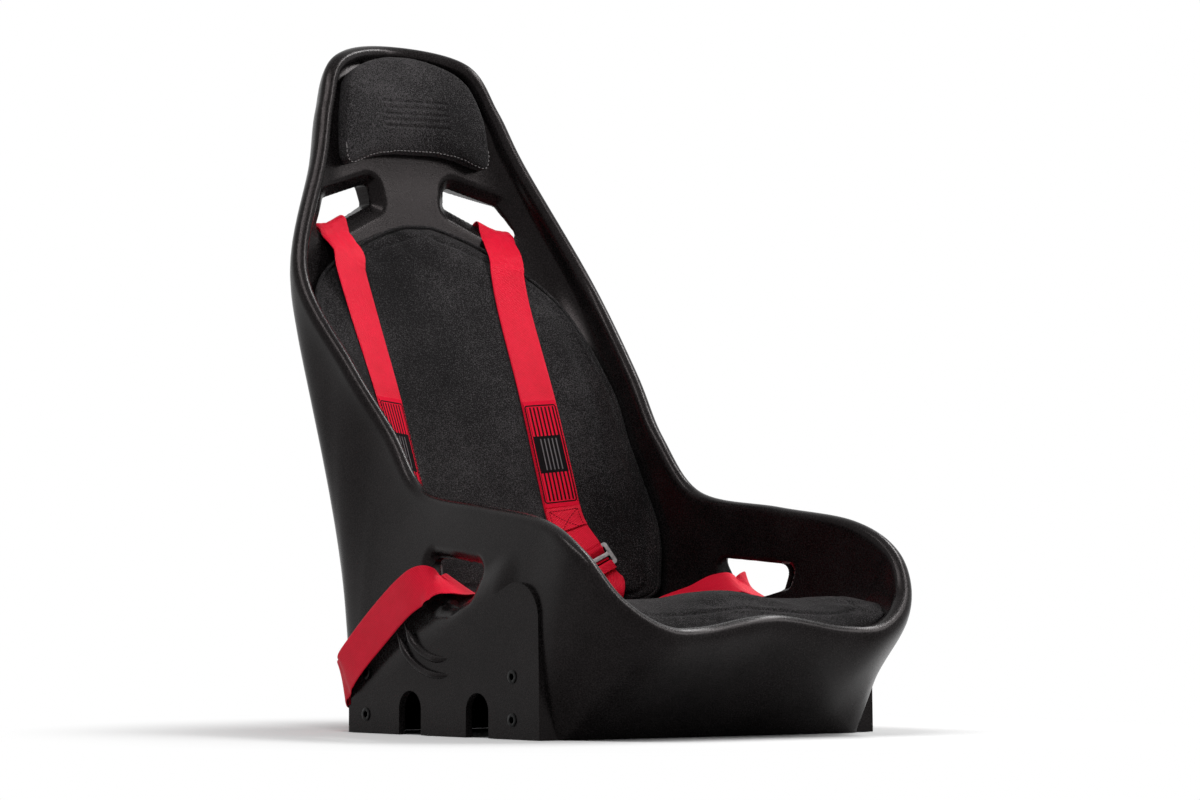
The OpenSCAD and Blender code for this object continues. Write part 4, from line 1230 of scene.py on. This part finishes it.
rows, cols = 64, 60
n, count = cols + 1, (rows + 1) * (cols + 1)
top, under = cushion_point(*np.meshgrid(np.linspace(0, 1, rows + 1), np.linspace(-1, 1, n), indexing="ij"))
faces = [(i * n + j, i * n + j + 1, (i + 1) * n + j + 1, (i + 1) * n + j)
         for i in range(rows) for j in range(cols)]
faces += [tuple(count + v for v in f[::-1]) for f in faces]
loop = grid_loop(rows, cols)
faces += [(a, b, count + b, count + a) for a, b in zip(loop, loop[1:] + loop[:1])]
points = np.concatenate([top.reshape(-1, 3), under.reshape(-1, 3)])
cushion = outward(mesh_piece("seat_cushion_cover", points, faces))
swell(cushion, voxel=5, cap=7)
seam_out, seam_front = 0.62, 0.9
e = np.linspace(0.04, seam_front, 200)
seams = [cushion_point(e, 0 * e + k * seam_out)[0] for k in (-1, 1)]
seams += [cushion_point(0 * e + seam_front, np.linspace(-seam_out, seam_out, 200))[0]]
sink_seam(cushion, laid_on(cushion, np.concatenate(seams))[0], depth=2.2, width=2.6)
finish(cushion, "pad_fabric", ["seat_cushion"])

# %% [markdown]
# ## The harness
# Webbing is modelled directly as a ribbon: a flat, thick band that runs through stations,
# each a point and the direction across. Cloth simulation would lose such a thin piece. The
# route is the real one: from an anchor on the back, up and through a shoulder slot, down
# over the pad to a slide, and on to the buckle. All numbers are for the left side, and the
# right side is its mirror image. Only three things differ: how far out a shoulder strap
# lies, how high its plate in the buckle is, and how low a lap strap runs outside its slot.

# %% Places on the skin and on the pads
def over_back(x, z, lift):
    t, v = solve(skin, x, z, 2, 2.9, 1 - z / 860, (0.5, 0.2), (0.5, 5), (0.01, 0.99))
    return skin(t, v) + lift * skin_normal(t, v)


def over_skin(t, z, lift):
    v, e = 0.9, 0.004
    for _ in range(10):
        here = skin(t, v)[2]
        v += (z - here) * e / (skin(t, v + e)[2] - here)
    return skin(t, v) + lift * skin_normal(t, v)


def on_pad(x, z, lift):
    """A point over the bucket, and the direction across it there."""
    x, z = np.float64(x), np.float64(z)
    u, s = locate(x, z, 2, row_near(z), x / half_width)
    return off_bucket(u, s, lift), unit(bucket(u, s + 0.03) - bucket(u, s - 0.03))


# %% The anchors' and slides' own axes
web_w, web_t, shoulder_w = 50, 1.8, 48
anchor_x, anchor_gap, low_z, high_z = 150, 3, 20, 90
anchor_at = over_back(anchor_x, 52, anchor_gap)
wall_lean = math.atan((over_back(anchor_x, high_z, anchor_gap)[1]
                       - over_back(anchor_x, low_z, anchor_gap)[1]) / (high_z - low_z))
wall_up = np.array([0, math.sin(wall_lean), math.cos(wall_lean)])
wall_out = np.array([0, math.cos(wall_lean), -math.sin(wall_lean)])
shoulder_eye, lap_eye = (12, 40), (-36, -6)


def anchor_point(x, up, out):
    return anchor_at + x * np.array([-1, 0, 0]) + up * wall_up + out * wall_out


pad_lift = 25.6
slide_x, slide_z = 137, 192
slide_at = on_pad(slide_x, slide_z, pad_lift + 2)[0]
slide_up = unit(on_pad(124, 216, 27)[0] - on_pad(145, 170, 27)[0])
slide_across = unit(np.cross(slide_up, slide_at - on_pad(slide_x, slide_z, 0)[0]))
slide_out = np.cross(slide_across, slide_up)
inner_x = 117
strap_x = {"right": 129, "left": inner_x}
buckle_at = np.array([0, 95, 130.0])
eye_at, eye_turn = (54, 57), math.radians(22)


def slide_point(down, out):
    return slide_at - down * slide_up + out * slide_out


def eye_point(out, z):
    return buckle_at + (eye_at[0] + out * math.cos(eye_turn), eye_at[1] + out * math.sin(eye_turn), z)


# %% The straps' routes
def shoulder_route(x=inner_x):
    """From the anchor up the back, over the slot's lip, and down the pad at x to the slide."""
    path = [(anchor_point(shoulder_eye[0], up, out), (1, 0, 0))
            for up, out in [(40, 1.5), (40.4, 4.2), (43, 6.2), (48, 6.4), (58, 6)]]
    path += [(over_back(at, z, lift), (1, 0, fall)) for at, z, lift, fall in [
        (136, 160, 6, 0), (132, 300, 8, 0), (130, 450, 8, 0), (128, 560, 6, -0.1), (128, 600, 5, -0.3)]]
    path += [((127, 409.5, 619.5), (0.9, -0.2, -0.39)), ((127, 406.5, 626), (0.89, -0.28, -0.37)),
             ((127, 400.5, 627.5), (0.88, -0.33, -0.35)), ((127, 393, 621), (0.89, -0.33, -0.31)),
             ((126.5, 386, 611.5), (0.91, -0.32, -0.26))]
    path += [on_pad(*q) for q in [
        (125.5, 598, 11), (124, 586, 17.5), ((x + 127) / 2, 574, 21.5), (x + 2, 558, 24),
        (x, 510, pad_lift), (x, 403, pad_lift), (x, 300, pad_lift),
        ((x + inner_x) / 2, 256, pad_lift), (121, 234, pad_lift + 1)]]
    return path + [(slide_point(down, out), slide_across) for down, out in [
        (-21, 3.2), (-14, 2.6), (-10, 2.2), (-6.6, 0), (-3.5, -2.6), (0, -2.9), (3.5, -2.5), (5.6, 0)]]


def tail_route(top):
    """From the slide to the buckle's eye, at the height `top` over its plate."""
    path = [(slide_point(down, out), slide_across) for down, out in [
        (21, 2.4), (13, 2.6), (10.3, 2), (9.2, 0), (10.3, -2), (13, -2.6), (24, -2.4), (34, -1)]]
    path += [((118, 166, 150), (0.3, 0.8, 0.45)), ((98, 162, 139), (-0.3, 0.93, 0.1))]
    across = (-math.sin(eye_turn), math.cos(eye_turn), 0)
    return path + [(eye_point(out, top + up), across) for out, up in [
        (26, 2), (14, 1.3), (7.5, 1.3), (2.8, 1.2), (0, -0.4), (-0.6, -1.8)]]


def lap_route(top, drop=0):
    """From the anchor round the outside, `drop` lower there, and through the slot."""
    path = [(anchor_point(lap_eye[0] - a, lap_eye[1], out), (0, 0.29, 0.96))
            for a, out in [(0, 1.5), (0.4, 4.2), (3, 6.2), (8, 6.4), (14, 5.5)]]
    path += [(over_skin(t, z, lift), (0.05, turn, 0.95)) for t, z, lift, turn in [
        (4.6, 49, 5.5, 0.26), (5, 54, 7, 0.2), (5.4, 60, 8.5, 0.2), (5.7, 66, 9.5, 0.3)]]
    path += [((x, y, z - share * drop), across) for x, y, z, share, across in [
        (258, 174, 79, 0, (0, 0.62, 0.78)), (257, 136, 111, 0, (0, 0.65, 0.76)),
        (257, 90, 145, 0, (0, 0.68, 0.73)), (256.5, 58, 165, 0.5, (0.02, 0.72, 0.69)),
        (253, 36, 175.5, 1, (0.1, 0.82, 0.56)), (245, 22, 178, 1, (0.12, 0.88, 0.46)),
        (234, 14, 177, 0.8, (0.12, 0.92, 0.38)), (222, 11, 176, 0.4, (0.16, 0.9, 0.4)),
        (211, 14, 177, 0, (0.26, 0.85, 0.45)), (200, 22, 176, 0, (0.38, 0.75, 0.54)),
        (187, 37, 171, 0, (0.48, 0.63, 0.6)), (172, 58, 158, 0, (0.52, 0.56, 0.64)),
        (157, 82, 148, 0, (0.46, 0.68, 0.56)), (138, 98, 140, 0, (0.2, 0.96, 0.2)),
        (112, 97, 137.5, 0, (0, 1, 0.02))]]
    return path + [(buckle_at + (a, 0, top + up), (0, 1, 0)) for a, up in [
        (86, 3.5), (70, 1.5), (62, 1.3), (57.4, 1.2), (54.2, -0.3), (53.5, -1.7)]]


# %% Ribbons
strap_steps, sewn_steps, face_steps = 10, 4, 20
section = np.array([-1, -0.97, -0.9, -0.8, -0.6, -0.4, -0.2, 0, 0.2, 0.4, 0.6, 0.8, 0.9, 0.97, 1])
half_thick = np.array([0.35, 0.95, 1.12, 1, 1, 1, 1, 1, 1, 1, 1, 1, 1.12, 0.95, 0.35])


def route_frames(route, steps):
    """Points, directions across, faces' directions and lengths run, all along a route."""
    points, across = (np.array([q[k] for q in route], float) for k in (0, 1))
    u = np.arange((len(route) - 1) * steps + 1) / steps
    T = unit(through(points, u + near) - through(points, u - near))
    C = through(across, u)
    S = unit(C - (C * T).sum(1, keepdims=True) * T)
    P = through(points, u)
    return P, S, np.cross(T, S), run_of(P)


def length_of(route, steps=strap_steps):
    return route_frames(route, steps)[3][-1]


def ribbon(name, route, width, thick, steps, side, pleat=None, start=0.0):
    """A band of webbing with rounded selvedges and a UV map in metres."""
    P, S, N, run = route_frames(route, steps)
    half = half_thick * thick / 2
    A, H = np.concatenate([section, section[::-1]]), np.concatenate([half, -half[::-1]])
    rise = np.zeros((len(P), len(A))) if pleat is None else pleat(P, A, run)
    pts = P[:, None] + S[:, None] * (A * width / 2)[:, None] + N[:, None] * (H + rise)[..., None]
    pts[..., 0] *= side
    band = rings_to_mesh(name, pts)
    uv = band.data.uv_layers.new(name="weave")
    u = np.tile(A * width / 2, len(P)) * MM
    v = np.repeat(run + start, len(A)) * MM
    corner = np.empty(len(band.data.loops), int)
    band.data.loops.foreach_get("vertex_index", corner)
    uv.data.foreach_set("uv", np.stack([u[corner], v[corner]], -1).astype(np.float32).ravel())
    outward(band)
    smooth(band, 50)
    return band


def lip_pleats(P, A, run):
    """Small lengthwise pleats where a shoulder strap bends over its slot's lip."""
    over_lip = np.exp(-((P[:, 2] - 608) / 18) ** 2) * (P[:, 1] < 408)
    ripple = 0.7 * np.sin(A * 17 + 0.7) + 0.4 * np.sin(A * 9 + 2)
    sag = 0.35 * np.sin(run / 31)[:, None] * A ** 2
    return over_lip[:, None] * ripple + sag


def loose_waves(_, A, run):
    """The slow wave and cupping of a strap that hangs slack."""
    return 0.5 * np.sin(run / 27)[:, None] * A ** 2 + 0.4 * np.sin(run / 19 + 1)[:, None] * A


# %% [markdown]
# ### Straps
# Each strap is one ribbon. Where a shoulder strap bends over its slot's lip, the webbing
# gathers into small lengthwise pleats that catch the light. The lap straps hang in slow waves.

# %% Straps
base_t, tongue_top = 2.5, 6.5
sides = (("right", -1), ("left", 1))
for name, k in sides:
    top, drop = (base_t, 0) if name == "right" else (tongue_top, 8)
    for piece, stands_for, route, width, pleat in [
            ("shoulder_webbing_", "shoulder_strap_", shoulder_route(strap_x[name]), shoulder_w, lip_pleats),
            ("shoulder_tail_webbing_", "shoulder_tail_", tail_route(top), web_w, None),
            ("lap_webbing_", "lap_strap_", lap_route(top, drop), web_w, loose_waves)]:
        band = ribbon(piece + name, route, width, web_t, strap_steps, k, pleat)
        finish(band, "webbing", [stands_for + name])
print("shoulder strap", round(length_of(shoulder_route())), "mm, lap strap",
      round(length_of(lap_route(base_t))), "mm, tail", round(length_of(tail_route(base_t))), "mm")

# %% [markdown]
# ### Labels and sewing
# The label is sewn on the strap over the pad. Under it, the strap comes back from the slide
# as a second layer, closed with a box of stitches and a cross, the strongest seam in webbing.


# %% Second layers and labels
pad_from, pad_to = 15, 23                   # the stations of a strap that lie over the pad


def face_of(route):
    """A strap's part over the pad: points, directions across and outward normals, upwards."""
    P, S, N = (Q[pad_from * face_steps:pad_to * face_steps + 1] for Q in route_frames(route, face_steps)[:3])
    N = N * np.where(N[:, 1:2] > 0, -1, 1)
    order = np.argsort(P[:, 2])
    return P[order], S[order], N[order]


def layer(route, high, low, lift):
    """A route that lies `lift` over a strap's middle between two heights."""
    face = face_of(route)
    at = [read_off(np.linspace(high, low, 16), face[0][:, 2], Q) for Q in face]
    return [(p + lift * n, s) for p, s, n in zip(*at)]


for name, k in sides:
    strap = shoulder_route(strap_x[name])
    route = layer(strap, 405, 272, web_t / 2 + 0.6)
    length = length_of(route, sewn_steps)
    band = ribbon("woven_label_" + name, route, 46, 0.8, sewn_steps, k, start=-length / 2)
    finish(band, "label", ["strap_label_" + name])
    band = ribbon("sewn_back_end_" + name, layer(strap, 271, 229, web_t), 47.5, web_t, sewn_steps, k)
    finish(band, "webbing")
print("label", round(length), "mm long")


# %% Box and cross of stitches
def sewn_line(route, corners, lift, side):
    """Points and normals along straight lines drawn on a strap: corners are [across, height z]."""
    P, S, N = face_of(route)
    pts, nrm = [], []
    for (a0, z0), (a1, z1) in zip(corners[:-1], corners[1:]):
        f = np.linspace(0, 1, 40)
        a, z = a0 + (a1 - a0) * f, z0 + (z1 - z0) * f
        p, s, n = (read_off(z, P[:, 2], Q) for Q in (P, S, N))
        pts.append((p + s * a[:, None] + n * lift) * (side, 1, 1))
        nrm.append(unit(n) * (side, 1, 1))
    return np.concatenate(pts), np.concatenate(nrm)


def sew(name, route, lines, lift, side, gap, thick, slot):
    rows = [stitches("row", *sewn_line(route, corners, lift, side), 2.6, gap, thick) for corners in lines]
    return finish(join(name, rows), slot, mat=thread_dark)


box = [[(-19, 267), (19, 267), (19, 238), (-19, 238), (-19, 267), (19, 238)], [(19, 267), (-19, 238)]]
label_edges = [[(a, 402), (a, 275)] for a in (-22.2, 22.2)]
for name, k in sides:
    strap = shoulder_route(strap_x[name])
    sew("strap_sewing_" + name, strap, box, web_t * 1.5 + 0.1, k, 1.1, 0.8, "webbing")
    sew("label_sewing_" + name, strap, label_edges, web_t / 2 + 1.1, k, 1.4, 0.5, "label")

# %% [markdown]
# ### Metal and plastic fittings
# The fittings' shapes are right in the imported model, but their edges are knife sharp. A copy
# of each has its loose triangles merged and its flat faces dissolved, and then a small bevel
# rounds every edge, as tumbling does to a stamped plate.


# %% Eased copies
edge_angle, flat_angle, same_point = 30, 1.5, 0.00002


def eased(node, name, width, segments, slot, mat=None):
    obj = new_object(name, frame["nodes"][node].data.copy())
    with editing(obj):
        bpy.ops.mesh.remove_doubles(threshold=same_point)
        bpy.ops.mesh.customdata_custom_splitnormals_clear()
        bpy.ops.mesh.dissolve_limited(angle_limit=math.radians(flat_angle))
        bpy.ops.mesh.normals_make_consistent(inside=False)
    m = obj.modifiers.new("edges", "BEVEL")
    m.width, m.segments, m.use_clamp_overlap = width * MM, segments, True
    m.limit_method, m.angle_limit = "ANGLE", math.radians(edge_angle)
    apply_all(obj)
    smooth(obj, 40)
    return finish(obj, slot, [node], mat)


for name, _ in sides:
    eased("shoulder_adjuster_" + name, "webbing_slide_" + name, 1.0, 3, "steel")
    eased("rear_anchor_" + name, "anchor_plate_" + name, 0.5, 2, "steel")
    eased("mount_inserts_" + name, "threaded_inserts_" + name, 0.3, 2, "steel", black_steel)
eased("buckle_body", "buckle_plate", 0.35, 2, "steel")
eased("buckle_tongue", "buckle_tongue_plate", 0.35, 2, "steel")
eased("buckle_cover", "buckle_cover_moulding", 1.2, 3, "cover_plastic")
eased("anchor_bolts", "anchor_bolts_hex", 0.5, 2, "steel")

# %% [markdown]
# ## Stage and light
# A pale floor and a white room. Two long lamps hang over the seat, one to each side, and draw
# soft streaks along the rolled rim and the front lip. A small one in front lights the back.

# %% Floor
bpy.ops.object.select_all(action="DESELECT")
bpy.ops.mesh.primitive_plane_add(size=60, location=(0, 0, -0.0005))
floor = bpy.context.object
bpy.ops.object.transform_apply(location=True, rotation=True, scale=True)
floor.name = "floor"
shadow_end, glow_start = 0.35, 0.75         # metres from the middle
r = recipe("floor_white")
r.shade({"Base Color": (0.85, 0.85, 0.85), "Roughness": 0.95, "Specular IOR Level": 0.0})
reach = r.node("VectorMath")
reach.operation = "LENGTH"
r.feed(reach.inputs[0], r.where())
far = r.node("MapRange", Value=reach.outputs["Value"])
far.interpolation_type = "SMOOTHSTEP"
far.inputs["From Min"].default_value, far.inputs["From Max"].default_value = shadow_end, glow_start
mix = r.node("MixShader", Fac=r.times(far.outputs["Result"], r.seen()))
r.feed(mix.inputs[1], r.shader.outputs[0])
r.feed(mix.inputs[2], r.node("Emission").outputs[0])
r.feed(r.tree.nodes["Material Output"].inputs["Surface"], mix.outputs[0])
floor.data.materials.append(r.owner)

# %% White room
room_light = 0.25
world = bpy.data.worlds.new("room")
bpy.context.scene.world = world
r = Recipe(world, "Background")
r.shade({"Color": (1, 1, 1), "Strength": r.add(r.times(r.seen(), 1 - room_light), room_light)})


# %% Lamps
def lamp(name, place, aim, size, power):
    bpy.ops.object.light_add(type="AREA", location=place)
    o = bpy.context.object
    o.name = name
    o.data.shape, o.data.size, o.data.size_y, o.data.energy = "RECTANGLE", *size, power
    o.rotation_euler = (Vector(aim) - Vector(place)).to_track_quat("-Z", "Y").to_euler()


lamp("strip_right", (1.3, -0.35, 1.9), (0, 0, 0.45), (1.8, 0.25), 32)
lamp("strip_left", (-0.86, -0.28, 2.15), (0, 0.1, 0.5), (1.6, 0.25), 26)
lamp("soft_front", (1.36, -1.2, 1.5), (0, 0.1, 0.45), (0.6, 0.6), 10)
bpy.context.scene.view_settings.view_transform = "Standard"
print("three lamps")
